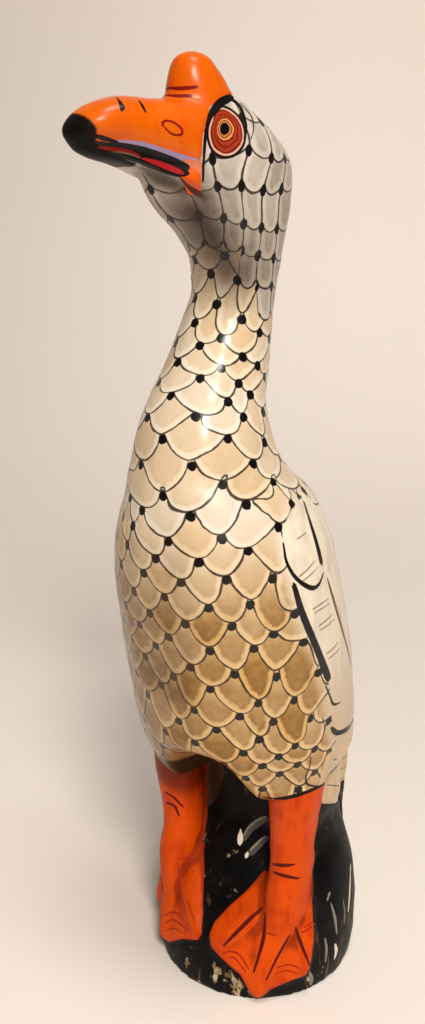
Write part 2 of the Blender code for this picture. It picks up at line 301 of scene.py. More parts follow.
legPaint = {
    # At each height: distance outwards and y of the leg's middle, half its width and half its depth
    "height": (24, 36, 48, 60, 70, 79, 95, 112, 128),
    "out": (32, 32.4, 32.8, 33, 33.2, 33.6, 34.4, 35, 35),
    "y": (-24, -24, -24, -22.5, -19.5, -21, -21.5, -21, -20),
    "half": (7, 9.2, 10.4, 10.4, 10.3, 10.6, 11.8, 13.4, 14.4),
    "deep": (11.5, 13.2, 14, 14, 14.5, 12, 13, 15.5, 17),
    "rim": 1.3,
    "lowest": 22,
    # Upper edges: distances outwards, and heights
    "topLeft": ((30, 38, 46, 50), (115.8, 117.0, 119.4, 119.4)),
    "topRight": ((30, 38, 46, 50), (119.5, 121.0, 123.0, 123.0)),
}
moundPaint = {
    # Degrees from the front, positive on the bird's left, and height of the black's upper edge
    "around": (-180, -120, -60, -48, -38, -25, -14, -2, 45, 60, 75, 100, 140, 180),
    "height": (70, 72, 70, 72, 81, 98, 118, 140, 140, 104, 93, 84, 76, 70),
    "front": ((74, 88), (-90, -22)),  # heights, and how far forward the black comes there
}
wingPaint = {
    # Degrees from the bird's front and height along the wing's front edge, then round its back
    "edge": (
        (106, 262), (98, 262.5), (91, 262), (82, 260), (75, 256.5), (69.5, 252), (66.5, 247), (66.8, 241),
        (68, 235), (71, 218), (75.6, 201), (80.8, 184), (83, 168), (85.5, 151), (90, 138), (97, 126),
        (106, 119), (124, 117), (141, 128), (150, 170), (147, 214), (132, 246), (118, 258),
    ),
    "degreeReach": 0.9,  # millimetres to a degree on the body
}
bellyPaint = {
    # Degrees from the bird's front, and height of the scales' lower edge there
    "around": (0, 30, 60, 76, 82, 100, 150, 180),
    "height": (118, 112, 112, 116, 136, 137, 138, 140),
}
shadePaint = {
    # Painted shade under the belly: where it begins and where it is full, in millimetres
    "facingDown": (0.15, 0.5),  # share of the way that the surface faces down
    "from": (84, 100),
    "to": (120, 134),
    "leftLeg": ((8, 22), (16, 26)),  # it leaves that out, by distances to the left and forward
    "behind": (-6, 14),
    # Painted shade on the inner side of the legs, in degrees on the mound and in millimetres
    "innerAround": (62, 84),
    "innerFrom": (66, 74),
    "innerTo": (112, 124),
    "innerFront": -34,
}
depthKept = 9.0  # depth is kept up to this far from an edge, in millimetres


def billDepth(name):
    depth = depthInside(inHead(points)[:, [0, 2]], billPaint[name])
    return np.where(points[:, 2] > billPaint["lowest"], depth, -depthKept)


def legDepth(side, top):
    height = points[:, 2]
    sizes = ("out", "y", "half", "deep")
    out, y, half, deep = (np.interp(height, legPaint["height"], legPaint[size]) for size in sizes)
    across, along = (points[:, 0] * side - out) / half, (points[:, 1] - y) / deep
    radial = (1 - np.hypot(across, along)) * half + legPaint["rim"]
    below = np.interp(points[:, 0] * side, *legPaint[top]) - height
    return np.minimum(np.minimum(radial, below), height - legPaint["lowest"])


def footDepth(side, outline):
    around = aroundMound(points) * side
    reach = footPaint["degreeReach"]
    flat = np.stack((around * reach, points[:, 2]), -1)
    depth = depthInside(flat, [(a * reach, h) for a, h in footPaint[outline]])
    return np.where(np.abs(around) < footPaint["furthest"], depth, -depthKept)


legsDepth = np.maximum.reduce(
    (legDepth(1, "topLeft"), legDepth(-1, "topRight"), footDepth(1, "left"), footDepth(-1, "right"))
)
trunkAround, moundAround = aroundTrunk(points), aroundMound(points)
moundDepth = np.interp(moundAround, moundPaint["around"], moundPaint["height"]) - points[:, 2]
moundDepth = np.minimum(moundDepth, points[:, 1] - np.interp(points[:, 2], *moundPaint["front"]))
wingFlat = np.stack((np.abs(trunkAround) * wingPaint["degreeReach"], points[:, 2]), -1)
wingDepth = depthInside(wingFlat, [(a * wingPaint["degreeReach"], h) for a, h in wingPaint["edge"]])
# The tail and the core between belly and mound stay free of scales
rumpDepth = np.interp(np.abs(trunkAround), bellyPaint["around"], bellyPaint["height"]) - points[:, 2]


def shadeUnder():
    # Painted shade where the surface faces down under the belly, and on the legs' inner sides
    left, forward, height = points[:, 0], -points[:, 1], points[:, 2]
    under = ramp(-normals[:, 2], *shadePaint["facingDown"])
    under *= ramp(height, *shadePaint["from"]) * (1 - ramp(height, *shadePaint["to"]))
    under *= 1 - ramp(left, *shadePaint["leftLeg"][0]) * ramp(forward, *shadePaint["leftLeg"][1])
    under *= 1 - ramp(points[:, 1], *shadePaint["behind"])
    inner = 1 - ramp(np.abs(moundAround), *shadePaint["innerAround"])
    inner *= ramp(height, *shadePaint["innerFrom"]) * (1 - ramp(height, *shadePaint["innerTo"]))
    return np.maximum(under, inner * (points[:, 1] > shadePaint["innerFront"]))


# Dirt and painted shade gather where the surface is hollow, and the head's painted shadow lies along lines
# of the throat
hollowAndShadePaint = {
    "passes": 10,  # the more, the wider a hollow can be
    "throat": {  # pixels of the photo, and how wide the painted shadow is, in millimetres
        "chin": (((146, 172), (160, 178), (172, 184), (184, 189), (196, 193), (203, 198)), 7.0),
        "neck": (((196, 212), (206, 232), (218, 252), (232, 268)), 15.0),
    },
}


def hollowness():
    edges = edgesOf(duck.data)
    smooth = points.copy()
    for number in range(hollowAndShadePaint["passes"]):
        smooth = meanOfNeighbours(smooth, edges, len(points))
    return np.clip(np.einsum("ij,ij->i", smooth - points, normals), -1, 1)


def paintedThroatShadow():
    # Painted shadow of the head, strongest along each line and fading away from it
    stains = []
    for line, wide in hollowAndShadePaint["throat"].values():
        stains.append(np.exp(-((nearestOnLine(points, cast(line)) / wide) ** 2)))
    return np.maximum(*stains)


skinValues = {
    "bill": billDepth("edge"),
    "legs": legsDepth,
    "mound": moundDepth,
    "wing": wingDepth,
    "rump": rumpDepth,
    "tip": billDepth("tip"),
    "hollow": hollowness(),
    "under": shadeUnder(),
    "throat": paintedThroatShadow(),
}
skinLayers = {  # each vector layer holds three of them
    "areasOne": ("bill", "legs", "mound"),
    "areasTwo": ("wing", "rump", "tip"),
    "hollowsAndShade": ("hollow", "under", "throat"),
}
for layerName, names in skinLayers.items():
    values = np.stack([skinValues[name] for name in names], -1)
    storeVectors(duck.data, layerName, np.clip(values, -depthKept, depthKept))

# Dots of the photo, as pixels with their column and row in the net: these count for body and neck alike
seamDots = (
    (163, 497, -1, 6), (223.7, 485, 0, 6), (273.7, 482, 1, 6),
    (141.6, 510, -1.5, 5), (189.3, 516, -0.5, 5), (245.7, 504.6, 0.5, 5),
)
# Painted scales: how many go round, and their dots
scaleRows = {
    "body": {
        "around": 18,
        "drop": 0.38,  # how far a dot lies below the points between which it hangs, in rows
        "dots": (
            *seamDots,
            (168.9, 542.5, -1, 4), (222.7, 539.5, 0, 4), (279, 527.3, 1, 4),
            (155, 558.6, -1.5, 3), (198.4, 562, -0.5, 3), (248.8, 550.5, 0.5, 3),
            (181.3, 583.2, -1, 2), (226.8, 580.4, 0, 2), (272.9, 579, 1, 2),
            (164.5, 597.3, -1.5, 1), (208.9, 608.6, -0.5, 1), (249.8, 604.5, 0.5, 1),
            (294.3, 614.3, 1.5, 1),
            (150, 613.4, -2, 0), (184.8, 623.4, -1, 0), (232, 626.4, 0, 0), (273.7, 635, 1, 0),
            (168.4, 638, -1.5, -1), (209.8, 651.4, -0.5, -1), (253.4, 648.2, 0.5, -1),
            (304.6, 642.1, 1.5, -1),
            (155.9, 645, -2, -2), (191, 667.5, -1, -2), (234.8, 675.5, 0, -2), (276.4, 676.4, 1, -2),
            (317.9, 673.4, 2, -2),
            (172.9, 677, -1.5, -3), (209.5, 689, -0.5, -3), (258.6, 703.8, 0.5, -3),
            (294.3, 700.9, 1.5, -3),
            (161.2, 684.8, -2, -4), (194.3, 710.7, -1, -4), (239.5, 717, 0, -4), (272.9, 722, 1, -4),
            (310.9, 718, 2, -4),
            (147.9, 694.8, -2.5, -5), (216.3, 730, -0.5, -5), (259.5, 739.8, 0.5, -5),
            (295.2, 746.6, 1.5, -5),
            (195.2, 743.4, -1, -6), (243.4, 753.8, 0, -6), (279, 774, 1, -8),
        ),
    },
    "neck": {
        "around": 8,
        "drop": 0.4,
        "dots": (
            *seamDots,
            (141, 465, -1.5, 7), (192, 466, -0.5, 7), (253, 464, 0.5, 7),
            (163, 439, -1, 8), (228, 439, 0, 8), (265, 443, 1, 8), (196, 417, -0.5, 9), (243, 416, 0.5, 9),
            (171, 396, -1, 10), (229, 403, 0, 10), (250, 395, 1, 10), (201, 378, -0.5, 11),
            (177, 363, -1, 12), (220, 368, 0, 12), (200, 345, -0.5, 13), (244, 357, 0.5, 13),
            (221, 339, 0, 14), (260, 332, 1, 14), (217, 304, -0.5, 15), (241, 320, 0.5, 15),
            (270, 299, 1.5, 15),
            (238, 279, 0, 16), (258, 290, 1, 16),
        ),
    },
    "head": {
        "around": 14,
        "drop": 0.26,
        "dots": (
            (212, 160, 0, 1), (249, 150, 1, 1), (271.6, 158.6, 2, 1),
            (218, 186, 0, 0), (241, 186.5, 1, 0), (263, 191, 2, 0), (281.5, 188.8, 3, 0),
            (244, 225, 1, -1), (261.4, 227, 2, -1), (277, 229, 3, -1), (223, 246, 0, -2),
        ),
    },
    "pull": 13.0,  # how far a dot draws the pattern to itself, in millimetres
    "pullEnds": 60,  # how far from the dots their pull is reckoned, in millimetres
    "give": 0.03,  # how much a dot may be missed
    "crownCentre": 4,  # how far ahead of the head's centre its columns fan out, in millimetres
    "steepest": 0.05,  # bound of the net's measure, and how often that is smoothed
    "measurePasses": 4,
}


def aroundHead(where):
    ahead, left, _ = np.moveaxis(inHead(where), -1, 0)
    return np.degrees(np.arctan2(left, ahead - scaleRows["crownCentre"]))


def pullOf(where, dots):
    away = np.linalg.norm(where[:, None] - dots[None], axis=2) / scaleRows["pull"]
    return np.exp(-0.5 * away**2)


def slopesOf(values, wrap):
    # How fast a value changes along the surface, by least squares over the edges that meet at each point
    edges = edgesOf(duck.data)
    step = points[edges[:, 1]] - points[edges[:, 0]]
    change = values[edges[:, 1]] - values[edges[:, 0]]
    if wrap:
        change -= wrap * np.round(change / wrap)
    both = edges.ravel()
    products = step[:, :, None] * step[:, None]
    matrix = normals[:, :, None] * normals[:, None]
    right = np.zeros((len(points), 3))
    for i in range(3):
        right[:, i] = np.bincount(both, np.repeat(step[:, i] * change, 2), len(points))
        for j in range(3):
            matrix[:, i, j] += np.bincount(both, np.repeat(products[:, i, j], 2), len(points))
    return np.linalg.solve(matrix, right[..., None])[..., 0]


def storeScales(name, around):
    # A regular net, drawn to the dots that the photo shows
    look = scaleRows[name]
    dots = cast(look["dots"])
    column, row = np.array([dot[2:] for dot in look["dots"] if castOne(*dot[:2]) is not None]).T
    row = row - look["drop"]
    perDegree = look["around"] / 360
    columnOff = column - around(dots) * perDegree
    shift = columnOff.mean()
    rowRise, rowStart = np.polyfit(dots[:, 2], row, 1)
    loose = np.stack((columnOff - shift, row - dots[:, 2] * rowRise - rowStart), -1)
    share = np.linalg.solve(pullOf(dots, dots) + scaleRows["give"] * np.eye(len(dots)), loose)
    pulled = np.zeros((len(points), 2))
    near = nearBox(dots, scaleRows["pullEnds"])
    pulled[near] = pullOf(points[near], dots) @ share
    across = around(points) * perDegree + shift + pulled[:, 0]
    rows = points[:, 2] * rowRise + rowStart + pulled[:, 1]
    print(name, "rows of", round(1 / rowRise, 2), "mm")
    mesh = duck.data
    # The net's measure, so that lines and dots keep their size where it is stretched
    sideways, upwards = slopesOf(across, look["around"]), slopesOf(rows, 0)
    pairs = ((sideways, sideways), (sideways, upwards), (upwards, upwards))
    measure = [np.einsum("ij,ij->i", *pair) for pair in pairs]
    measure = np.clip(np.stack(measure, -1), -scaleRows["steepest"], scaleRows["steepest"])
    for number in range(scaleRows["measurePasses"]):
        measure = meanOfNeighbours(measure, edgesOf(mesh), len(points))
    storeVectors(mesh, name + "Measure", measure)
    corner = readAll(mesh.loops, "vertex_index", 1, np.int32)
    starts = readAll(mesh.polygons, "loop_start", 1, np.int32)
    counts = readAll(mesh.polygons, "loop_total", 1, np.int32)
    a = across[corner]
    highest = np.repeat(np.maximum.reduceat(a, starts), counts)
    a = np.where(highest - a > look["around"] / 2, a + look["around"], a)
    # The layer belongs to the corners, so that the net closes behind the bird
    layer = mesh.uv_layers.new(name=name + "Scales")
    layer.data.foreach_set("uv", np.stack((a, rows[corner]), -1).astype(np.float32).ravel())


storeScales("body", aroundTrunk)
storeScales("neck", aroundTrunk)
storeScales("head", aroundHead)
print("paint areas ready")


# Brush strokes
paints = {  # screen colours, 0 to 255
    "ink": (14, 9, 8),
    "charcoal": (62, 50, 40),
    "soot": (40, 32, 28),
    "leather": (112, 72, 42),
    "umber": (100, 80, 60),
    "pencil": (150, 132, 118),
    "oxblood": (92, 16, 6),
    "maroon": (120, 14, 8),
    "brick": (168, 40, 14),
    "chestnut": (70, 30, 12),
    "ember": (196, 74, 34),
    # Painted highlights on the lip and at the mouth's corner
    "lipHighlight": (150, 136, 176),
    "cornerHighlight": (206, 116, 84),
    "tongue": (158, 26, 32),
    "bone": (236, 222, 206),
    "ash": (136, 128, 118),
    "smoke": (84, 78, 74),
}
brush = {
    "reach": 6.0,  # how far from its line a stroke's field is kept, in millimetres
    "gap": 3.6,  # strokes nearer than twice this lie on different layers
    "step": 2.0,  # pixels between the points of a smoothed line
    "jump": 7.0,  # a longer step on the carving parts the line, in millimetres
    "fewest": 3,  # points that a run needs
    # Millimetres: how far the edge wobbles, how it softens, and where all paint stops beside the line
    "wobble": 0.35,
    "edge": (-0.14, 0.12),
    "end": (3.3, 2.9),
}
farOff = 9.0  # millimetres: stands for a place that is far outside a paint's edge or a stroke
# The bird's other side has the same strokes, mirrored in the middle plane of its body or of its turned head
mirrors = {
    "wing": "body",
    "mouth": "head",
    "bill and knob": "head",
    "eye and face": "head",
    "thigh": "body",
}
# Strokes by place: the paint of each, whether it lies over those that it crosses, and the photo's pixels
# that it runs through, with its width there
strokes = {
    "wing": (
        {"paint": "ink", "path": (
            (283.3, 543.3, 1.1), (287, 563, 1.5), (296.9, 578.9, 1.9), (310.7, 587.8, 2.3),
            (318.6, 584.8, 1.6), (323.6, 572.9, 0.9),
        )},
        {"paint": "soot", "path": (
            (303.8, 501.7, 1.4), (310.7, 523.5, 2.1), (316.7, 543.3, 2.6), (321.6, 563, 3.0),
        )},
        {"paint": "leather", "path": (
            (327.5, 578.9, 1.5), (334.4, 602.6, 2.2), (342.4, 630.3, 2.1), (348.3, 652, 1.7),
            (351.3, 665.8, 0.8),
        )},
        {"paint": "ink", "path": (
            (293.9, 584.8, 2.6), (302.8, 614.4, 3.5), (316.7, 648, 3.8), (327.5, 675.7, 4.2),
            (328.5, 679.7, 3.0),
        )},
        {"paint": "ink", "path": (
            (325.6, 685.6, 0.8), (330.5, 697.5, 1.1), (333.5, 704.4, 1.4), (340.4, 702.4, 0.7),
        )},
        {"paint": "ink", "path": (
            (331.5, 728.1, 2.0), (337.4, 733, 3.0), (348.3, 728.1, 3.0), (354.2, 717.2, 1.2),
        )},
        {"paint": "ink", "path": ((312.7, 502.7, 0.7), (316.7, 504.7, 0.8), (319.6, 500.8, 0.6))},
        {"paint": "charcoal", "path": (
            (319.6, 500.8, 0.8), (326.5, 513.6, 0.8), (332.5, 531.4, 0.8), (333.5, 545.2, 0.6),
        )},
        {"paint": "charcoal", "path": ((322.6, 717, 0.7), (324.6, 729, 0.7), (320.6, 743, 0.5))},
        {"paint": "ink", "path": (
            (310.7, 756.8, 0.8), (309.7, 766.7, 1.0), (305.8, 776.6, 1.0), (307.8, 784.5, 1.1),
            (318.6, 786.4, 0.7),
        )},
        {"paint": "pencil", "path": ((296.9, 539.3, 0.8), (306.8, 532.4, 0.5))},
        {"paint": "pencil", "path": ((298.9, 576.9, 0.8), (307, 570, 0.8), (314.7, 561, 0.5))},
        {"paint": "pencil", "path": ((303, 581, 0.7), (311, 574.5, 0.7), (318, 567, 0.4))},
        {"paint": "pencil", "path": ((312.7, 609.5, 0.8), (321, 604, 0.8), (328.5, 598.6, 0.5))},
        {"paint": "pencil", "path": ((314, 613.5, 0.7), (322, 608.5, 0.7), (330, 603, 0.4))},
        {"paint": "pencil", "path": ((318.6, 626.3, 0.8), (326, 620.5, 0.8), (332.5, 614.4, 0.5))},
        {"paint": "pencil", "path": ((320, 630.5, 0.7), (328, 625, 0.7), (335, 618.5, 0.4))},
        {"paint": "pencil", "path": ((326.5, 654, 0.8), (333, 648.5, 0.8), (338.4, 642.1, 0.5))},
        {"paint": "pencil", "path": ((328.5, 659, 0.7), (335, 653.5, 0.7), (341, 647, 0.4))},
    ),
    "mouth": (  # from its dark gap and its colours to its lines
        {"paint": "ink", "path": (
            (86, 145.5, 2.6), (100, 147.5, 3.6), (122, 150.0, 4.6), (140, 154.6, 5.4), (158, 161, 5.8),
            (172, 166.8, 5.8), (183, 171.4, 4.8), (187.5, 173, 2.4),
        )},
        # Painted highlight along the upper lip
        {"paint": "lipHighlight", "over": True, "path": (
            (112, 141.2, 0.7), (126, 141.4, 1.2), (140, 143.6, 1.7), (155.2, 148.2, 2.0),
            (172.4, 154.4, 2.4), (187.8, 159.8, 2.8), (197, 162, 2.6),
        )},
        # Painted highlight at the mouth's corner
        {"paint": "cornerHighlight", "over": True, "path": (
            (184, 160.5, 1.4), (192, 163.5, 3.2), (199.5, 167, 3.4), (202, 173, 2.2),
        )},
        {"paint": "tongue", "over": True, "path": (
            (142, 158.8, 1.0), (150, 161.2, 1.9), (158, 163.8, 2.5), (168, 167.4, 2.7),
            (178, 171.2, 2.4), (183.5, 173.4, 1.2),
        )},
        {"paint": "maroon", "over": True, "path": (
            (98, 147.2, 0.8), (108, 148.6, 1.4), (119, 150.2, 1.8), (131, 153.0, 1.9),
            (140, 156.2, 1.0),
        )},
        {"paint": "umber", "over": True, "path": (
            (112, 152.4, 0.6), (122, 153.0, 1.1), (132, 155.4, 1.1), (140, 158.4, 0.6),
        )},
        {"paint": "ember", "path": (
            (183, 178.6, 1.6), (188, 182, 3.0), (193.5, 186.5, 3.6), (198, 189.5, 2.6),
        )},
        {"paint": "ink", "over": True, "path": (
            (95.9, 141.4, 0.9), (107.4, 143.4, 1.1), (122.7, 144.8, 1.6), (141.8, 148.8, 2.2),
            (159, 155.2, 2.8), (174.4, 161.4, 3.0), (186.8, 167.0, 2.4), (188.6, 169, 1.4),
        )},
        {"paint": "ink", "over": True, "path": (
            (69.1, 144.8, 1.6), (84.4, 149.6, 2.2), (99.7, 153.8, 2.4), (117, 155.3, 2.0),
            (134.2, 159.2, 2.0), (149.5, 165.4, 2.0), (164.8, 171.6, 1.8), (180.1, 176.4, 1.1),
        )},
    ),
    "bill and knob": (
        {"paint": "ink", "path": (
            (116, 97, 0.6), (119.8, 101.7, 1.3), (122.3, 107.5, 2.3), (121.4, 110.6, 1.0),
        )},
        {"paint": "ink", "path": ((139, 100.8, 0.9), (142.8, 106.5, 1.3), (145.7, 112.3, 0.8))},
        {"paint": "ink", "path": ((93, 135, 1.0), (101, 137.5, 2.2), (110, 140, 1.8), (118, 142, 0.8))},
        {"paint": "maroon", "path": ((168.2, 88, 0.9), (182, 88.4, 1.6), (197.3, 86.8, 1.2))},
        {"paint": "maroon", "path": ((165.4, 95.6, 0.9), (180.1, 96, 1.8), (192.5, 96, 1.1))},
        {"paint": "maroon", "path": ((185.8, 50.7, 0.6), (192.5, 49.5, 0.8), (198.3, 50.7, 0.6))},
        {"paint": "maroon", "path": (
            (164, 126.5, 0.5), (161, 123.4, 0.7), (167.0, 120.6, 0.9), (174.8, 123.0, 0.9),
            (182.4, 129.9, 0.8), (181.4, 134.8, 0.9), (172.4, 134.3, 0.8), (164.8, 128.0, 0.7),
        )},
    ),
    "eye and face": (
        {"paint": "ink", "path": (
            (231.8, 97, 3.0), (222.2, 101.7, 3.6), (214.5, 109.4, 3.2), (208.8, 119.9, 2.0),
            (205.4, 137.1, 1.5), (204, 156.3, 1.2), (203, 175.4, 1.0), (203, 183, 0.8),
        )},
        {"paint": "ink", "over": True, "path": (
            (230, 98, 2.6), (238.5, 104.6, 2.0), (243.2, 114.2, 1.5), (246.1, 127.6, 1.3),
            (244.2, 139, 0.8),
        )},
        {"paint": "charcoal", "path": (
            (240, 103, 0.6), (251, 116, 0.8), (253.6, 128, 0.6), (251, 139, 0.5),
        )},
    ),
    "left foot": (
        {"paint": "oxblood", "path": (
            (262.9, 907.4, 1.3), (250, 919, 2.0), (237, 932, 2.0), (223.4, 945.9, 1.1),
        )},
        {"paint": "oxblood", "path": (
            (265.2, 912.3, 1.3), (264.6, 928, 2.0), (262.0, 944, 2.0), (253.6, 972.5, 1.1),
        )},
        {"paint": "oxblood", "path": (
            (289.5, 935.4, 1.1), (283, 947, 1.6), (276, 960, 1.6), (266.3, 980, 1.0),
        )},
        {"paint": "oxblood", "path": (
            (295.3, 927.3, 1.2), (298.6, 937, 1.8), (302.3, 947, 1.7), (310.4, 966.7, 1.0),
        )},
        {"paint": "brick", "path": ((266.3, 933.1, 0.8), (271, 934, 1.1), (276.8, 935.4, 0.7))},
        {"paint": "brick", "path": ((301.1, 933.1, 0.8), (308, 929.2, 1.1), (315, 923.9, 0.7))},
        {"paint": "brick", "path": ((303.4, 927.6, 0.7), (308, 925.4, 0.9), (312.7, 921, 0.6))},
        {"paint": "brick", "path": (
            (222.3, 953, 0.7), (231, 951.6, 1.0), (239.6, 955.1, 1.0), (249, 969.5, 0.7),
        )},
        {"paint": "brick", "path": ((228, 957.6, 0.6), (235, 958.4, 0.9), (246, 972.5, 0.6))},
        {"paint": "brick", "path": (
            (276.8, 968, 0.7), (284, 965.4, 0.9), (292, 965.2, 0.9), (300, 969, 0.6),
        )},
        {"paint": "brick", "path": (
            (275.6, 973.7, 0.6), (283, 971.2, 0.8), (290, 971, 0.8), (297.6, 974, 0.5),
        )},
        {"paint": "oxblood", "path": ((272.5, 864, 1.2), (283, 865.4, 2.0), (294.5, 864.5, 1.2))},
        {"paint": "oxblood", "path": ((273, 872, 1.2), (285, 876, 2.0), (299, 878.6, 1.1))},
    ),
    "thigh": (
        {"paint": "ink", "path": (
            (263, 797.4, 1.2), (277, 798.6, 2.1), (290, 797.0, 2.2), (305, 792.6, 2.0),
            (318, 787.2, 1.7), (325, 783.6, 1.0),
        )},
    ),
    "right foot": (
        {"paint": "oxblood", "path": ((164.3, 791.7, 1.0), (173.6, 797.4, 1.6), (182.9, 806.8, 1.0))},
        {"paint": "oxblood", "path": ((165.5, 802.5, 1.1), (173.8, 805.4, 1.7), (179.4, 816, 1.0))},
        {"paint": "brick", "path": ((178.2, 859, 0.7), (184.5, 858.4, 1.0), (191, 856.2, 0.7))},
        {"paint": "brick", "path": ((178.2, 862, 0.7), (180.6, 889, 1.0), (189.8, 930.8, 0.7))},
        {"paint": "brick", "path": ((186.4, 898, 0.6), (190.6, 910, 0.8), (194.5, 921.5, 0.6))},
        {"paint": "brick", "path": (
            (164.3, 916, 0.7), (172, 912.3, 1.0), (180, 915.2, 1.0), (187.5, 925, 0.7),
        )},
        {"paint": "brick", "path": ((165.5, 922.7, 0.7), (175, 920.4, 1.0), (189.8, 932.7, 0.7))},
        {"paint": "brick", "path": ((165.5, 930.8, 0.6), (174.8, 928.5, 0.8), (181.7, 933.1, 0.6))},
    ),
    "tail": (
        {"paint": "charcoal", "path": ((334.8, 767.5, 0.8), (339.5, 768.4, 1.1), (344.2, 767.5, 0.7))},
        {"paint": "charcoal", "path": ((326.8, 784.9, 0.5), (335, 785.6, 0.7), (344.2, 785.5, 0.5))},
        {"paint": "ink", "path": ((333.6, 759.4, 0.9), (336.6, 759.2, 1.1))},
        {"paint": "ash", "path": ((337.5, 811, 1.0), (341.0, 811.4, 1.3))},
    ),
    "mound": (  # loose strokes
        {"paint": "smoke", "path": (
            (267.3, 819, 2.6), (258.4, 823, 3.4), (249.5, 830.3, 3.6), (243.8, 839, 3.0),
        )},
        {"paint": "ash", "over": True, "path": (
            (266, 816.6, 0.8), (257, 820.4, 1.3), (248.5, 827.6, 1.3), (243.4, 836, 0.8),
        )},
        {"paint": "bone", "over": True, "path": (
            (240.6, 829.3, 0.7), (240.3, 837, 3.2), (239.9, 843.3, 2.6),
        )},
        {"paint": "smoke", "path": ((267.3, 837.6, 2.4), (258.4, 845, 3.6), (250.8, 853, 3.4))},
        {"paint": "ash", "over": True, "path": (
            (266, 835.6, 0.7), (257.4, 843, 1.3), (250, 850.4, 1.1),
        )},
        {"paint": "bone", "over": True, "path": ((247.6, 852.6, 1.2), (246.4, 856.2, 2.4))},
        {"paint": "ash", "path": ((331, 903, 0.8), (335, 918, 1.8), (337, 934, 1.0))},
        {"paint": "bone", "path": (
            (350.6, 864, 0.9), (350.2, 882, 1.7), (349.4, 899, 2.0), (348.2, 911, 1.2),
        )},
        {"paint": "ash", "path": ((329.6, 893, 1.6), (327.4, 900, 1.0))},
        {"paint": "bone", "path": ((335, 944, 1.2), (336.4, 951, 2.8), (334.8, 958, 1.8))},
        {"paint": "ash", "path": ((325, 938, 0.9), (326.6, 950, 1.7), (325.4, 962, 1.1))},
        {"paint": "ash", "path": ((309.4, 972, 1.2), (311.6, 979, 2.4), (310.6, 985, 1.4))},
        {"paint": "ash", "path": ((343.4, 900, 0.6), (344.6, 912, 1.2), (344.2, 924, 0.6))},
    ),
    "cheek": (
        {"paint": "chestnut", "over": True, "path": (
            (180, 177.6, 0.9), (187, 185.4, 1.5), (195, 191.8, 2.6), (202, 195.4, 2.4),
        )},
    ),
}


def smoothed(pixels):
    # Catmull-Rom through the given points, widths included
    pixels = np.array(pixels, float)
    padded = np.vstack((2 * pixels[0] - pixels[1], pixels, 2 * pixels[-1] - pixels[-2]))
    line = []
    for p0, p1, p2, p3 in zip(padded[:-3], padded[1:-2], padded[2:-1], padded[3:]):
        count = max(2, int(np.linalg.norm((p2 - p1)[:2]) / brush["step"]))
        for t in np.arange(count) / count:
            bend = (2 * p0 - 5 * p1 + 4 * p2 - p3) * t * t + (3 * p1 - p0 - 3 * p2 + p3) * t**3
            line.append(0.5 * (2 * p1 + (p2 - p0) * t + bend))
    line.append(pixels[-1])
    return np.array(line)


def carved(pixels):
    # The stroke on the carving: runs of points with half widths, parted where the depth jumps
    runs, last = [[]], None
    for x, y, width in smoothed(pixels):
        place = castOne(x, y)
        if place is None:
            continue
        if last is not None and np.linalg.norm(place - last) > brush["jump"]:
            runs.append([])
        runs[-1].append((*place, width / 2))
        last = place
    return [np.array(run) for run in runs if len(run) >= brush["fewest"]]


def mirrored(run, how):
    # The same stroke on the bird's other side
    there = run.copy()
    if how == "body":
        there[:, 0] *= -1
    else:
        left = (run[:, :3] - headCentre) @ headLeft
        there[:, :3] -= 2 * left[:, None] * headLeft
    for row in there:
        near = skinTree.find_nearest(Vector(row[:3] * 0.001))
        row[:3] = np.array(near[0]) * 1000
    return there


def strokeField(run):
    # For the points near a stroke: signed distance across it, half width left there, and plain distance
    line, half = run[:, :3], run[:, 3]
    near = np.flatnonzero(nearBox(line, brush["reach"]))
    here = points[near]
    best = np.full(len(near), huge)
    across, width = np.full(len(near), farOff), np.full(len(near), -farOff)
    for number, (a, b) in enumerate(zip(line[:-1], line[1:])):
        step = b - a
        length = np.linalg.norm(step)
        if length < tiny:
            continue
        along = (here - a) @ step / length
        share = np.clip(along / length, 0, 1)
        away = here - a - share[:, None] * step
        distance = np.linalg.norm(away, axis=1)
        closer = distance < best
        best[closer] = distance[closer]
        side = np.cross(normals[near], step / length)
        sign = np.where(np.einsum("ij,ij->i", away, side) < 0, -1, 1)
        past = np.zeros(len(near))
        if number == 0:
            past = np.maximum(past, -along)
        if number == len(line) - 2:
            past = np.maximum(past, along - length)
        lateral = np.sqrt(np.maximum(distance**2 - past**2, 0)) * sign
        across[closer] = lateral[closer]
        width[closer] = (half[number] + (half[number + 1] - half[number]) * share - past)[closer]
    keep = best < brush["reach"]
    return near[keep], across[keep], width[keep], best[keep]


class Layer:
    # Strokes that lie well apart, with one field for all of them
    def __init__(self):
        self.field = np.tile((farOff, -farOff, farOff), (len(points), 1))
        self.colour = np.ones((len(points), 4))
        self.taken = np.zeros(len(points), bool)


def linear(colour):
    c = np.array(colour) / 255
    return np.where(c < 0.04045, c / 12.92, ((c + 0.055) / 1.055) ** 2.4)


layers = []


def layerFor(crowd, over):
    # The lowest layer with room for a stroke, above all that it meets where it lies over them
    met = [number for number, layer in enumerate(layers) if layer.taken[crowd].any()]
    lowest = max(met) + 1 if met and over else 0
    free = [number for number in range(lowest, len(layers)) if number not in met]
    if not free:
        layers.append(Layer())
        free = [len(layers) - 1]
    return layers[free[0]]


def paintStroke(run, paint, over):
    near, across, width, distance = strokeField(run)
    crowd = near[distance < brush["gap"]]
    layer = layerFor(crowd, over)
    layer.taken[crowd] = True
    won = distance < layer.field[near, 2]
    layer.field[near[won]] = np.stack((across, width, distance), -1)[won]
    layer.colour[near[won], :3] = linear(paints[paint])


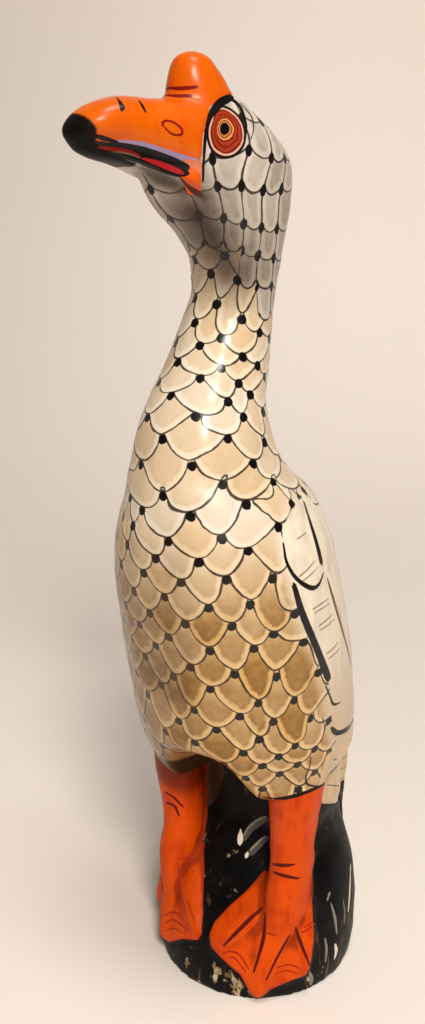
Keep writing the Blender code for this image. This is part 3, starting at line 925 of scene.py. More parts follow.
for place, drawn in strokes.items():
    for stroke in drawn:
        for run in carved(stroke["path"]):
            over = stroke.get("over", False)
            paintStroke(run, stroke["paint"], over)
            if place in mirrors:
                paintStroke(mirrored(run, mirrors[place]), stroke["paint"], over)
for number, layer in enumerate(layers):
    storeVectors(duck.data, f"stroke{number}", layer.field)
    colours = duck.data.attributes.new(f"paint{number}", "FLOAT_COLOR", "POINT")
    colours.data.foreach_set("color", layer.colour.astype(np.float32).ravel())
print(sum(map(len, strokes.values())), "strokes in", len(layers), "layers")


# Node helpers
def addNode(tree, kind, **settings):
    node = tree.nodes.new(kind)
    for name, value in settings.items():
        setattr(node, name, value)
    return node


def feed(tree, socket, value):
    # A socket takes another node's output, or a plain value
    if isinstance(value, bpy.types.NodeSocket):
        tree.links.new(value, socket)
    else:
        socket.default_value = value


def feedAll(tree, sockets, values):
    for socket, value in zip(sockets, values):
        feed(tree, socket, value)


def calc(tree, operation, *values, clamp=False):
    node = addNode(tree, "ShaderNodeMath", operation=operation, use_clamp=clamp)
    feedAll(tree, node.inputs, values)
    return node.outputs[0]


def mathNode(operation):
    # A short name for a kind of calculation that is used often
    return lambda tree, *values, clamp=False: calc(tree, operation, *values, clamp=clamp)


plus, minus, times, divided = map(mathNode, ("ADD", "SUBTRACT", "MULTIPLY", "DIVIDE"))
timesPlus, power, absolute = map(mathNode, ("MULTIPLY_ADD", "POWER", "ABSOLUTE"))
smaller, larger = map(mathNode, ("MINIMUM", "MAXIMUM"))


def partsOf(tree, vector):
    node = addNode(tree, "ShaderNodeSeparateXYZ")
    feed(tree, node.inputs[0], vector)
    return node.outputs


def vectorFrom(tree, *values):
    node = addNode(tree, "ShaderNodeCombineXYZ")
    feedAll(tree, node.inputs, values)
    return node.outputs[0]


def vectorCalc(tree, operation, *values, output=0):
    node = addNode(tree, "ShaderNodeVectorMath", operation=operation)
    feedAll(tree, node.inputs, values)
    return node.outputs[output]


def soft(tree, value, low, high):
    # Nought below low, one above high, and smooth between; falling if low is the larger
    node = addNode(tree, "ShaderNodeMapRange", interpolation_type="SMOOTHSTEP")
    falling = not isinstance(low, bpy.types.NodeSocket) and low > high
    feed(tree, node.inputs["Value"], value)
    feed(tree, node.inputs["From Min"], high if falling else low)
    feed(tree, node.inputs["From Max"], low if falling else high)
    node.inputs["To Min"].default_value = 1.0 if falling else 0.0
    node.inputs["To Max"].default_value = 0.0 if falling else 1.0
    return node.outputs["Result"]


def inside(tree, depth, half):
    # One where the depth is above nought, nought where it is below, and soft over that half width
    return soft(tree, depth, -half, half)


def shade(colour):
    # A screen colour, 0 to 255, as Blender's own
    return (*linear(colour), 1.0)


def blend(tree, share, first, second):
    # From the first colour to the second
    node = addNode(tree, "ShaderNodeMix", data_type="RGBA")
    first, second = (shade(value) if isinstance(value, tuple) else value for value in (first, second))
    feedAll(tree, (node.inputs[0], node.inputs[6], node.inputs[7]), (share, first, second))
    return node.outputs[2]


def lerp(tree, share, first, second):
    # From the first number to the second
    node = addNode(tree, "ShaderNodeMix", data_type="FLOAT")
    feedAll(tree, (node.inputs[0], node.inputs[2], node.inputs[3]), (share, first, second))
    return node.outputs[0]


def noise(tree, place, length, detail=2.0, rough=0.5, squash=(1, 1, 1), output="Fac"):
    node = addNode(tree, "ShaderNodeTexNoise")
    feed(tree, node.inputs["Vector"], vectorCalc(tree, "MULTIPLY", place, tuple(s / length for s in squash)))
    node.inputs["Scale"].default_value = 1.0
    node.inputs["Detail"].default_value = detail
    node.inputs["Roughness"].default_value = rough
    return node.outputs[output]


def grain(tree, place, **look):
    # Noise from -0.5 to 0.5
    return minus(tree, noise(tree, place, **look), 0.5)


def attributeNode(tree, name):
    return addNode(tree, "ShaderNodeAttribute", attribute_name=name)


def newGroup(name, inputs, outputs):
    tree = bpy.data.node_groups.new(name, "ShaderNodeTree")
    for label, kind in inputs:
        tree.interface.new_socket(label, in_out="INPUT", socket_type="NodeSocket" + kind)
    for label, kind in outputs:
        tree.interface.new_socket(label, in_out="OUTPUT", socket_type="NodeSocket" + kind)
    return tree, addNode(tree, "NodeGroupInput").outputs, addNode(tree, "NodeGroupOutput").inputs


def useGroup(tree, group, **values):
    node = addNode(tree, "ShaderNodeGroup", node_tree=group)
    for name, value in values.items():
        feed(tree, node.inputs[name], value)
    return node.outputs


shapeInputs = ("Depth", "Power", "Round", "Narrow", "Stagger", "Drop", "Tall")  # of a scale
unseen = 99.0  # stands for the distance from a line or a dot that isn't there
least = {"steps": 1e-9, "tall": 1e-6, "area": 1e-7}  # keep roots and quotients safe


# One row of a scale pattern: rounded points that hang from the row's height
def scaleRow():
    inputs = [(n, "Float") for n in ("Across", "Up", "Row", *shapeInputs)] + [("Measure", "Vector")]
    outputs = [(n, "Float") for n in ("Inside", "Over", "Column", "Dot")]
    tree, given, result = newGroup("Scale row", inputs, outputs)
    wide, skew, tall = partsOf(tree, given["Measure"])
    odd = calc(tree, "FLOORED_MODULO", given["Row"], 2.0)
    place = minus(tree, given["Across"], times(tree, odd, given["Stagger"]))
    share = calc(tree, "FRACT", place)
    offset = timesPlus(tree, share, 2.0, -1.0)
    middle = times(tree, absolute(tree, offset), given["Narrow"])
    # Step up or down to the curve, in rows
    rest = minus(tree, 1.0, power(tree, smaller(tree, middle, 1.0), given["Power"]))
    hang = power(tree, larger(tree, rest, 0.0), given["Round"])
    curve = minus(tree, given["Row"], times(tree, hang, given["Depth"]))
    rise = minus(tree, curve, given["Up"])
    # Step across to the curve, in columns
    below = divided(tree, minus(tree, given["Row"], given["Up"]), given["Depth"])
    level = smaller(tree, larger(tree, below, 0.0), 1.0)
    level = power(tree, level, divided(tree, 1.0, given["Round"]))
    reach = power(tree, minus(tree, 1.0, level), divided(tree, 1.0, given["Power"]))
    side = divided(tree, minus(tree, reach, middle), times(tree, given["Narrow"], 2.0))
    run = times(tree, side, calc(tree, "SIGN", offset))
    # Distance in millimetres to the line through both steps' ends, by the net's measure
    squares = times(tree, wide, times(tree, rise, rise))
    squares = timesPlus(tree, tall, times(tree, run, run), squares)
    product = times(tree, run, rise)
    squares = timesPlus(tree, times(tree, skew, 2.0), product, squares)
    root = calc(tree, "SQRT", larger(tree, squares, least["steps"]))
    away = divided(tree, absolute(tree, product), root)
    upright = calc(tree, "SQRT", larger(tree, tall, least["tall"]))
    over = divided(tree, times(tree, rise, -1.0), upright)
    away = lerp(tree, calc(tree, "GREATER_THAN", below, 1.0), away, absolute(tree, over))
    within = calc(tree, "GREATER_THAN", smaller(tree, over, side), 0.0)
    feed(tree, result["Inside"], times(tree, away, timesPlus(tree, within, 2.0, -1.0)))
    signed = times(tree, away, calc(tree, "SIGN", over))
    feed(tree, result["Over"], lerp(tree, calc(tree, "GREATER_THAN", below, 0.0), over, signed))
    feed(tree, result["Column"], calc(tree, "FLOOR", place))
    # Distance in millimetres to the dot
    beside = minus(tree, share, calc(tree, "ROUND", share))
    above = plus(tree, minus(tree, given["Up"], given["Row"]), given["Drop"])
    above = divided(tree, above, given["Tall"])
    reachSquared = times(tree, tall, times(tree, beside, beside))
    reachSquared = timesPlus(tree, wide, times(tree, above, above), reachSquared)
    twice = times(tree, times(tree, skew, -2.0), times(tree, beside, above))
    reachSquared = plus(tree, reachSquared, twice)
    area = minus(tree, times(tree, wide, tall), times(tree, skew, skew))
    reachSquared = divided(tree, reachSquared, larger(tree, area, least["area"]))
    feed(tree, result["Dot"], calc(tree, "SQRT", larger(tree, reachSquared, 0.0)))
    return tree


# A whole pattern of scales: its lines, its dots, and the place in each scale
def scalePattern(rowGroup):
    inputs = [("Net", "Vector"), ("Measure", "Vector")]
    inputs += [(n, "Float") for n in (*shapeInputs, "Around", "Lowest", "Rise")]
    outputs = [(n, "Float") for n in ("Line", "Dot", "Inside", "Height", "Chance", "Over")]
    tree, given, result = newGroup("Scale pattern", inputs, outputs)
    across, up, _ = partsOf(tree, given["Net"])
    shared = {n: given[n] for n in (*shapeInputs, "Measure")}
    top = calc(tree, "CEIL", up)
    line, dot = unseen, unseen
    own = {"Inside": unseen, "Column": 0.0, "Row": 0.0}
    for shift in (-1, 0, 1):
        row = plus(tree, top, float(shift))
        here = useGroup(tree, rowGroup, Across=across, Up=up, Row=row, **shared)
        # A higher row lies over a lower one and hides its lines
        mine = calc(tree, "GREATER_THAN", here["Inside"], 0.0) if shift > -1 else 1.0
        line = smaller(tree, lerp(tree, mine, line, unseen), absolute(tree, here["Inside"]))
        dot = smaller(tree, dot, here["Dot"])
        for name, value in (("Inside", here["Inside"]), ("Column", here["Column"]), ("Row", row)):
            own[name] = lerp(tree, mine, own[name], value)
    height = plus(tree, minus(tree, up, own["Row"]), given["Depth"])
    column = calc(tree, "FLOORED_MODULO", own["Column"], given["Around"])
    chance = addNode(tree, "ShaderNodeTexWhiteNoise", noise_dimensions="2D")
    feed(tree, chance.inputs["Vector"], vectorFrom(tree, column, own["Row"]))
    edge = useGroup(tree, rowGroup, Across=across, Up=up, Row=given["Lowest"], **shared)
    height = times(tree, height, given["Rise"])
    values = (line, dot, own["Inside"], height, chance.outputs["Value"], edge["Over"])
    feedAll(tree, result, values)
    return tree


# A brush stroke: solid inside its half width, dry at its edge
def brushStroke():
    inputs = [("Field", "Vector"), ("Wobble", "Float")]
    tree, given, result = newGroup("Brush stroke", inputs, [("Mask", "Float")])
    across, half, away = partsOf(tree, given["Field"])
    room = plus(tree, minus(tree, half, absolute(tree, across)), given["Wobble"])
    mask = soft(tree, room, *brush["edge"])
    feed(tree, result["Mask"], times(tree, mask, soft(tree, away, *brush["end"])))
    return tree


eyeLook = {
    # Distance ahead of the head's centre and height of its middle, lean, and half its width and length
    "middle": (14.0, 416.2),
    "pupil": (14.9, 417.4),
    "lean": 19.3,
    "halfWide": 8.6,
    "halfLong": 10.4,
    # Where each ring ends, as a share of the eye, and its colour
    "rings": (
        (0.25, (10, 6, 5)), (0.335, (186, 120, 62)), (0.38, (84, 34, 12)), (0.455, (222, 138, 82)),
        (0.505, (96, 22, 10)), (0.59, (152, 52, 20)), (0.66, (120, 28, 10)), (0.76, (158, 50, 20)),
        (0.83, (88, 16, 12)), (0.92, (216, 160, 136)), (1.10, (12, 8, 8)),
    ),
    # Shares of the eye: half a ring's blend, where the pupil's rings become the eye's, and its outer edge
    "ringBlend": 0.018,
    "pupilTo": (0.15, 0.8),
    "swayTo": (1.0, 0.7),
    "outer": (1.06, 1.02),
    "hand": {"length": 6.0, "detail": 2.0},  # the sway of the rings: its length in millimetres, and its size
    "sway": 0.24,
}


# The painted eye: rings round a pupil that sits a little forward
def eyePaint():
    look = eyeLook
    inputs = [(n, "Float") for n in ("Ahead", "Height", "Sway")]
    tree, given, result = newGroup("Painted eye", inputs, [("Colour", "Color"), ("Mask", "Float")])
    lean = math.radians(look["lean"])
    cosine, sine = math.cos(lean), math.sin(lean)

    def reach(middle):
        ahead = minus(tree, given["Ahead"], middle[0])
        height = minus(tree, given["Height"], middle[1])
        wide = plus(tree, times(tree, ahead, cosine), times(tree, height, sine))
        long = minus(tree, times(tree, height, cosine), times(tree, ahead, sine))
        wide, long = divided(tree, wide, look["halfWide"]), divided(tree, long, look["halfLong"])
        return vectorCalc(tree, "LENGTH", vectorFrom(tree, wide, long), output=1)

    whole, near = reach(look["middle"]), reach(look["pupil"])
    rim = lerp(tree, soft(tree, whole, *look["pupilTo"]), near, whole)
    rim = plus(tree, rim, times(tree, given["Sway"], soft(tree, whole, *look["swayTo"])))
    colour = look["rings"][0][1]
    for (start, _), (_, paint) in zip(look["rings"][:-1], look["rings"][1:]):
        colour = blend(tree, inside(tree, minus(tree, rim, start), look["ringBlend"]), colour, paint)
    feed(tree, result["Colour"], colour)
    feed(tree, result["Mask"], soft(tree, rim, *look["outer"]))
    return tree


coat = {
    # Screen colours, 0 to 255, of a scale, of a pale scale and of the wash in it
    "low": {"cream": (217, 174, 106), "pale": (228, 198, 150), "spot": (142, 99, 36)},
    "high": {"cream": (230, 208, 176), "pale": (232, 222, 206), "spot": (200, 166, 120)},
    "head": {"cream": (196, 184, 170), "pale": (210, 200, 188), "spot": (154, 140, 124)},
    "line": (40, 24, 14),
    # How strong the wash is, and how much more it is low on the body
    "strength": {"body": 0.45, "more": 0.5, "neck": 0.6, "head": 0.75},
    # Millimetres: heights over which the low colours come in, and how near the wing they thin out
    "lowFrom": (268.0, 205.0),
    "nearWing": (-8.8, -1.0),
    "thinner": -0.6,
    "seam": 0.1,
    "hidden": 9.0,  # added to the distance from a line that the head covers
    # Half widths in millimetres, and how much the wide and the fine grain change them
    "lineHalf": 0.42,
    "lineSway": {"wide": 0.9, "fine": 0.4},
    "lineEdge": 0.16,
    "lineShare": 0.93,
    "dotHalf": 2.1,
    "headDotHalf": 1.65,
    "dotSway": 0.9,
    "dotEdge": (-0.2, 0.15),
}
# The wash in each scale, in millimetres from the scale's edge unless it is a share
washLook = {
    "hand": {"length": 4.0, "detail": 3.0, "rough": 0.6},
    "sway": 2.4,
    "starts": (1.5, 3.2),
    "rim": (4.4, 2.8),
    "share": 0.88,
    "rimShare": 0.12,
    "fades": (24.0, 10.0),  # above the scale's lowest point
    "uneven": 0.8,
    "chance": (-0.5, 1.1),
}
# Shapes of the scales: millimetres, shares of a row, and how full the curve is
scaleShapes = {
    "body": {
        "Rise": 10.4, "Depth": 1.19, "Power": 1.9, "Round": 0.6, "Narrow": 1.1, "Stagger": 0.5,
        "Drop": scaleRows["body"]["drop"], "Tall": 1.0, "Lowest": -99.0,
    },
    "neck": {
        "Rise": 8.4, "Depth": 1.19, "Power": 1.9, "Round": 0.58, "Narrow": 1.08, "Stagger": 0.5,
        "Drop": scaleRows["neck"]["drop"], "Tall": 1.0, "Lowest": 6.0,
    },
    "head": {
        "Rise": 14.8, "Depth": 0.36, "Power": 2.0, "Round": 0.5, "Narrow": 1.0, "Stagger": 0.0,
        "Drop": scaleRows["head"]["drop"], "Tall": 1.45,
    },
}
# The sway of the painter's hand: its length in millimetres and its size in columns and rows
handSway = {"length": 9.0, "size": (0.09, 0.14, 0)}
# The lowest row of the head's scales, and how many columns from the middle one it lies a row lower
crownEdge = {"row": -2.0, "middle": -2.64, "steps": (3.0, 4.2)}


def netOf(tree, place, name):
    # The pattern's net with the sway of a hand
    net = addNode(tree, "ShaderNodeUVMap", uv_map=name + "Scales")
    cloud = noise(tree, place, handSway["length"], output="Color")
    swayed = vectorCalc(tree, "SUBTRACT", cloud, (0.5, 0.5, 0.5))
    return vectorCalc(tree, "ADD", net.outputs[0], vectorCalc(tree, "MULTIPLY", swayed, handSway["size"]))


def crownLowest(tree, net):
    # The head's pattern reaches further down towards its back
    column = calc(tree, "FLOOR", partsOf(tree, net)[0])
    aside = absolute(tree, minus(tree, column, crownEdge["middle"]))
    steps = [calc(tree, "GREATER_THAN", aside, step) for step in crownEdge["steps"]]
    return minus(tree, crownEdge["row"], plus(tree, *steps))


def scalesOf(tree, pattern, name, net, **more):
    measure = attributeNode(tree, name + "Measure").outputs["Vector"]
    around = float(scaleRows[name]["around"])
    return useGroup(tree, pattern, Net=net, Measure=measure, Around=around, **scaleShapes[name], **more)


def scaleColour(tree, place, scales, tones, strength):
    # A thin wash of spot colour in each scale, with a bare rim and a slightly darker edge
    look = washLook
    tone = blend(tree, scales["Chance"], tones["cream"], tones["pale"])
    hand = grain(tree, place, **look["hand"])
    depth = timesPlus(tree, hand, look["sway"], scales["Inside"])
    wash = soft(tree, depth, *look["starts"])
    rim = times(tree, wash, soft(tree, depth, *look["rim"]))
    share = timesPlus(tree, rim, look["rimShare"], times(tree, wash, look["share"]))
    share = times(tree, share, soft(tree, scales["Height"], *look["fades"]))
    share = times(tree, share, timesPlus(tree, hand, look["uneven"], 1.0))
    chance = timesPlus(tree, scales["Chance"], *look["chance"])
    share = times(tree, share, times(tree, chance, strength), clamp=True)
    return blend(tree, share, tone, tones["spot"])


# The grain that all the paints read, with its lengths in millimetres
grainLook = {
    "fine": {"length": 2.6, "detail": 3.0},
    "wide": {"length": 16.0, "detail": 2.0},
    "streak": {"length": 5.0, "detail": 4.0, "rough": 0.6, "squash": (1, 1, 0.18)},
    "ragged": {"fine": 0.8, "wide": 1.2},  # how far the edges of the paints sway, in millimetres
}


def skinOf(tree):
    # Place in millimetres, depth in the area of each paint, and grain from -0.5 to 0.5
    coords = addNode(tree, "ShaderNodeTexCoord").outputs["Object"]
    place = vectorCalc(tree, "MULTIPLY", coords, (1000.0, 1000.0, 1000.0))
    skin = {"place": place}
    skin.update(zip(("x", "y", "up"), partsOf(tree, place)))
    for layerName, names in skinLayers.items():
        skin.update(zip(names, partsOf(tree, attributeNode(tree, layerName).outputs["Vector"])))
    for name in ("fine", "wide", "streak"):
        skin[name] = grain(tree, place, **grainLook[name])
    ragged = [times(tree, skin[name], size) for name, size in grainLook["ragged"].items()]
    skin["ragged"] = plus(tree, *ragged)
    return skin


def scaleCoat(tree, skin):
    # The scales of body, neck and head: their colour, their lines and their dots
    place, wide, fine = skin["place"], skin["wide"], skin["fine"]
    pattern = scalePattern(scaleRow())
    nets = {name: netOf(tree, place, name) for name in scaleShapes}
    body = scalesOf(tree, pattern, "body", nets["body"])
    neck = scalesOf(tree, pattern, "neck", nets["neck"])
    crown = scalesOf(tree, pattern, "head", nets["head"], Lowest=crownLowest(tree, nets["head"]))
    thin = timesPlus(tree, soft(tree, skin["wing"], *coat["nearWing"]), coat["thinner"], 1.0)
    low = times(tree, soft(tree, skin["up"], *coat["lowFrom"]), thin)
    tones = {name: blend(tree, low, coat["high"][name], coat["low"][name]) for name in coat["low"]}
    strength = coat["strength"]
    bodyStrength = timesPlus(tree, low, strength["more"], strength["body"])
    bodyColour = scaleColour(tree, place, body, tones, bodyStrength)
    neckColour = scaleColour(tree, place, neck, coat["high"], strength["neck"])
    crownColour = scaleColour(tree, place, crown, coat["head"], strength["head"])
    onNeck, onCrown = (inside(tree, scales["Over"], coat["seam"]) for scales in (neck, crown))
    colour = blend(tree, onCrown, blend(tree, onNeck, bodyColour, neckColour), crownColour)
    # A line runs along each seam too, and the head's hides the neck's
    line = lerp(tree, onCrown, lerp(tree, onNeck, body["Line"], neck["Line"]), crown["Line"])
    neckEdge = plus(tree, absolute(tree, neck["Over"]), times(tree, onCrown, coat["hidden"]))
    line = smaller(tree, line, neckEdge)
    line = smaller(tree, line, absolute(tree, crown["Over"]))
    half = timesPlus(tree, wide, coat["lineSway"]["wide"], coat["lineHalf"])
    half = timesPlus(tree, fine, coat["lineSway"]["fine"], half)
    offWing = soft(tree, skin["wing"], *wingLook["overLines"])
    lines = times(tree, inside(tree, minus(tree, half, line), coat["lineEdge"]), offWing)
    room = minus(tree, coat["dotHalf"], lerp(tree, onNeck, body["Dot"], neck["Dot"]))
    room = lerp(tree, onCrown, room, minus(tree, coat["headDotHalf"], crown["Dot"]))
    dots = soft(tree, plus(tree, room, times(tree, fine, coat["dotSway"])), *coat["dotEdge"])
    return colour, lines, times(tree, dots, offWing)


wingLook = {
    # Screen colours, where they change, and millimetres inside the wing's edge
    "white": (240, 226, 204),
    "shade": (206, 190, 172),
    "shadeIn": (-0.1, 0.35),
    "low": (204, 178, 144),
    "lowFrom": (205.0, 150.0),
    "lowShare": 0.8,
    "fadesIn": (-6.0, 2.5),
    "overLines": (0.6, -0.4),
}


def wingPaintOver(tree, skin, colour):
    look = wingLook
    streaks = soft(tree, skin["streak"], *look["shadeIn"])
    white = blend(tree, streaks, look["white"], look["shade"])
    low = times(tree, soft(tree, skin["up"], *look["lowFrom"]), look["lowShare"])
    white = blend(tree, low, white, look["low"])
    return blend(tree, soft(tree, skin["wing"], *look["fadesIn"]), colour, white)


rumpLook = {
    # Screen colours, where they change, and millimetres about the edge of the scales
    "plain": (226, 192, 146),
    "low": wingLook["low"],
    "lowIn": (-0.15, 0.25),
    "brushed": {"length": 7.0, "detail": 4.0, "rough": 0.65, "squash": (1, 1, 0.1)},
    "brushedIn": (0.5, 0.72),
    "brushedShare": 0.45,
    "edge": 1.2,
}


def rumpPaintOver(tree, skin, colour):
    look = rumpLook
    plain = blend(tree, soft(tree, skin["streak"], *look["lowIn"]), look["plain"], look["low"])
    brushed = soft(tree, noise(tree, skin["place"], **look["brushed"]), *look["brushedIn"])
    plain = blend(tree, times(tree, brushed, look["brushedShare"]), plain, coat["low"]["spot"])
    onRump = inside(tree, plus(tree, skin["rump"], skin["ragged"]), look["edge"])
    return blend(tree, onRump, colour, plain)


tailLook = {
    # Screen colour, then millimetres and shares
    "wash": (186, 146, 98),
    "washIn": (3.4, 0.4),
    "washShare": 0.6,
    "feather": 12.5,
    "featherSway": 5.0,
    "edge": (0.6, 0.32),
    "bar": 8.0,
    "barSway": 3.0,
    "barSlant": 0.4,
    "barHalf": (0.07, 0.03),
    "barFrom": (0.7, 1.3),
    "barTo": (4.6, 3.4),
    "barShare": 0.75,
    "rim": (0.75, 0.4),
    "front": 26.0,
    "frontBlend": 5.0,
    "below": (-0.8, -0.4),  # depth inside the rump where the feathers begin
}


def tailFeathers(tree, skin, colour):
    # Long feathers lie side by side down the tail, with short bars beside their quills
    look = tailLook
    size, wide, rump = look["feather"], skin["wide"], skin["rump"]
    across = timesPlus(tree, wide, look["featherSway"], skin["x"])
    share = calc(tree, "FRACT", calc(tree, "DIVIDE", across, size))
    aside = times(tree, absolute(tree, minus(tree, share, 0.5)), size)
    edge = minus(tree, size / 2, aside)
    slant = timesPlus(tree, wide, look["barSway"], skin["up"])
    slant = timesPlus(tree, aside, look["barSlant"], slant)
    turns = calc(tree, "FRACT", calc(tree, "DIVIDE", slant, look["bar"]))
    bars = soft(tree, absolute(tree, minus(tree, turns, 0.5)), *look["barHalf"])
    bars = times(tree, bars, soft(tree, aside, *look["barFrom"]))
    bars = times(tree, bars, soft(tree, aside, *look["barTo"]))
    bars = times(tree, bars, look["barShare"])
    mark = larger(tree, soft(tree, edge, *look["edge"]), bars)
    mark = larger(tree, mark, soft(tree, absolute(tree, rump), *look["rim"]))
    behind = soft(tree, skin["y"], look["front"], look["front"] + look["frontBlend"])
    behind = times(tree, behind, soft(tree, rump, *look["below"]))
    wash = times(tree, soft(tree, edge, *look["washIn"]), times(tree, behind, look["washShare"]))
    colour = blend(tree, wash, colour, look["wash"])
    return blend(tree, times(tree, mark, behind), colour, coat["line"])


dirtAndShadeLook = {
    # Screen colours of dirt and painted shade, of the head's painted shadow on the throat and of the painted
    # shade under the belly
    "dirtAndShade": (92, 58, 30),
    "headShadow": (54, 31, 14),
    "under": (58, 37, 20),
    "headShadowShare": (0.4, 0.95),  # how much it changes with the wide grain, and how strong it is
    "inHollows": (0.05, 0.45),
    "hollowShare": 0.5,
    "clouds": {"length": 34.0, "detail": 4.0, "rough": 0.6},
    "cloudsIn": (0.52, 0.8),
    "cloudShare": 0.22,
    # Painted shade along the bird's right side, lower down, partly browned lacquer
    "side": (-0.84, -0.54, 0.0),
    "sideFrom": (21.0, 41.0),
    "sideBelow": (268.0, 205.0),
    "sideShare": (1.2, 0.45),
    "underSway": 0.3,
    "underIn": (0.35, 0.6),
}


def dirtAndShadeOver(tree, skin, colour):
    look = dirtAndShadeLook
    # Darker in hollows, from dirt and painted shade, with clouds of dirt over all
    hollows = times(tree, soft(tree, skin["hollow"], *look["inHollows"]), look["hollowShare"])
    clouds = soft(tree, noise(tree, skin["place"], **look["clouds"]), *look["cloudsIn"])
    dirtAndShade = plus(tree, hollows, times(tree, clouds, look["cloudShare"]))
    colour = blend(tree, dirtAndShade, colour, look["dirtAndShade"])
    # Painted shade along the bird's right side, low down, partly browned lacquer
    aside = vectorCalc(tree, "DOT_PRODUCT", skin["place"], look["side"], output=1)
    low = soft(tree, skin["up"], *look["sideBelow"])
    browned = times(tree, soft(tree, aside, *look["sideFrom"]), low)
    browned = times(tree, browned, timesPlus(tree, skin["wide"], *look["sideShare"]))
    colour = blend(tree, browned, colour, look["dirtAndShade"])
    # Painted shade under the belly and on the legs' inner sides
    under = plus(tree, skin["under"], times(tree, skin["wide"], look["underSway"]))
    return blend(tree, soft(tree, under, *look["underIn"]), colour, look["under"])


moundLook = {
    # Screen colours
    "black": (5, 5, 6),
    "brown": (17, 12, 10),
    "fleck": (150, 124, 84),
    "bareWood": (214, 196, 160),
    # Noises, and the values between which they take effect
    "browned": {"length": 12.0, "detail": 4.0, "rough": 0.65},
    "brownedIn": (0.45, 0.7),
    "chips": {"length": 9.0, "detail": 5.0, "rough": 0.7, "squash": (1, 1, 0.6)},
    "chipsIn": (0.665, 0.70),
    "chipsShare": 0.85,
    "moreLow": 0.09,  # chips are more along the lower edge
    "lowFrom": (30.0, 3.0),
    "bareIn": (-0.05, 0.12),
    "scratches": {"length": 4.5, "detail": 3.0, "rough": 0.6, "squash": (1, 1, 0.12)},
    "scratchesIn": (0.57, 0.66),
    "scratchedPlaces": {"length": 30.0, "detail": 2.0},
    "placesIn": (0.5, 0.6),
    "scratchesShare": 0.35,
    "edge": 0.25,
}


def moundColour(tree, skin):
    look = moundLook
    def cloud(name):
        return noise(tree, skin["place"], **look[name])

    browned = soft(tree, cloud("browned"), *look["brownedIn"])
    black = blend(tree, browned, look["black"], look["brown"])
    low = soft(tree, skin["up"], *look["lowFrom"])
    chips = plus(tree, cloud("chips"), times(tree, low, look["moreLow"]))
    chips = soft(tree, chips, *look["chipsIn"])
    bare = soft(tree, skin["fine"], *look["bareIn"])
    bare = blend(tree, bare, look["fleck"], look["bareWood"])
    black = blend(tree, times(tree, chips, look["chipsShare"]), black, bare)
    scratches = soft(tree, cloud("scratches"), *look["scratchesIn"])
    scratches = times(tree, scratches, soft(tree, cloud("scratchedPlaces"), *look["placesIn"]))
    return blend(tree, times(tree, scratches, look["scratchesShare"]), black, look["fleck"])


legLook = {
    # Screen colours
    "orange": (222, 78, 0),
    "deep": (190, 54, 0),
    "shaded": (96, 24, 3),
    # Values of the grain, millimetres inside the edge, and hollowness
    "deepIn": (-0.12, 0.35),
    "rim": (1.6, 0.2),
    "rimShare": 0.55,
    # Painted shade in the legs' hollows
    "inHollows": (0.02, 0.35),
    "hollowShare": 0.6,
    # The painted shadow of the body on the right leg's top: heights, how far they sway, and places from side
    # to side
    "shadedFrom": (90.0, 99.0),
    "shadedSway": 12.0,
    "shadedSide": (0.0, -10.0),
    "shadedShare": 0.75,
    "raggedShare": 0.5,
    "edge": 0.2,
}


def legColour(tree, skin):
    look = legLook
    streaks = soft(tree, plus(tree, skin["streak"], skin["wide"]), *look["deepIn"])
    orange = blend(tree, streaks, look["orange"], look["deep"])
    rim = times(tree, soft(tree, skin["legs"], *look["rim"]), look["rimShare"])
    orange = blend(tree, rim, orange, look["deep"])
    # Painted shade in the legs' hollows
    hollows = times(tree, soft(tree, skin["hollow"], *look["inHollows"]), look["hollowShare"])
    orange = blend(tree, hollows, orange, paints["oxblood"])
    # Painted shadow of the body on the right leg's top
    top = timesPlus(tree, skin["wide"], look["shadedSway"], skin["up"])
    top = soft(tree, top, *look["shadedFrom"])
    top = times(tree, top, soft(tree, skin["x"], *look["shadedSide"]))
    return blend(tree, times(tree, top, look["shadedShare"]), orange, look["shaded"])


billLook = {
    # Screen colours
    "orange": (214, 90, 0),
    "light": (222, 104, 0),
    "deep": (200, 66, 0),
    # Values of the grain and millimetres inside the edge
    "lightIn": (-0.05, 0.22),
    "deepIn": (0.08, 0.4),
    "rim": (2.4, 0.2),
    "rimShare": 0.5,
    "raggedShare": 0.35,
    "edge": 0.2,
    "tipEdge": 0.7,
}


def billColour(tree, skin):
    look = billLook
    beak = blend(tree, soft(tree, skin["wide"], *look["lightIn"]), look["orange"], look["light"])
    streaks = soft(tree, plus(tree, skin["streak"], skin["wide"]), *look["deepIn"])
    beak = blend(tree, streaks, beak, look["deep"])
    rim = times(tree, soft(tree, skin["bill"], *look["rim"]), look["rimShare"])
    return blend(tree, rim, beak, look["deep"])


def eyeOver(tree, skin, colour):
    ahead = vectorCalc(tree, "SUBTRACT", skin["place"], tuple(headCentre))
    ahead = vectorCalc(tree, "DOT_PRODUCT", ahead, tuple(headAhead), output=1)
    hand = times(tree, grain(tree, skin["place"], **eyeLook["hand"]), eyeLook["sway"])
    eye = useGroup(tree, eyePaint(), Ahead=ahead, Height=skin["up"], Sway=hand)
    return blend(tree, eye["Mask"], colour, eye["Colour"])


def strokesOver(tree, skin, colour):
    group = brushStroke()
    wobble = times(tree, skin["fine"], brush["wobble"])
    for number in range(len(layers)):
        field = attributeNode(tree, f"stroke{number}").outputs["Vector"]
        mask = useGroup(tree, group, Field=field, Wobble=wobble)["Mask"]
        colour = blend(tree, mask, colour, attributeNode(tree, f"paint{number}").outputs["Color"])
    return colour


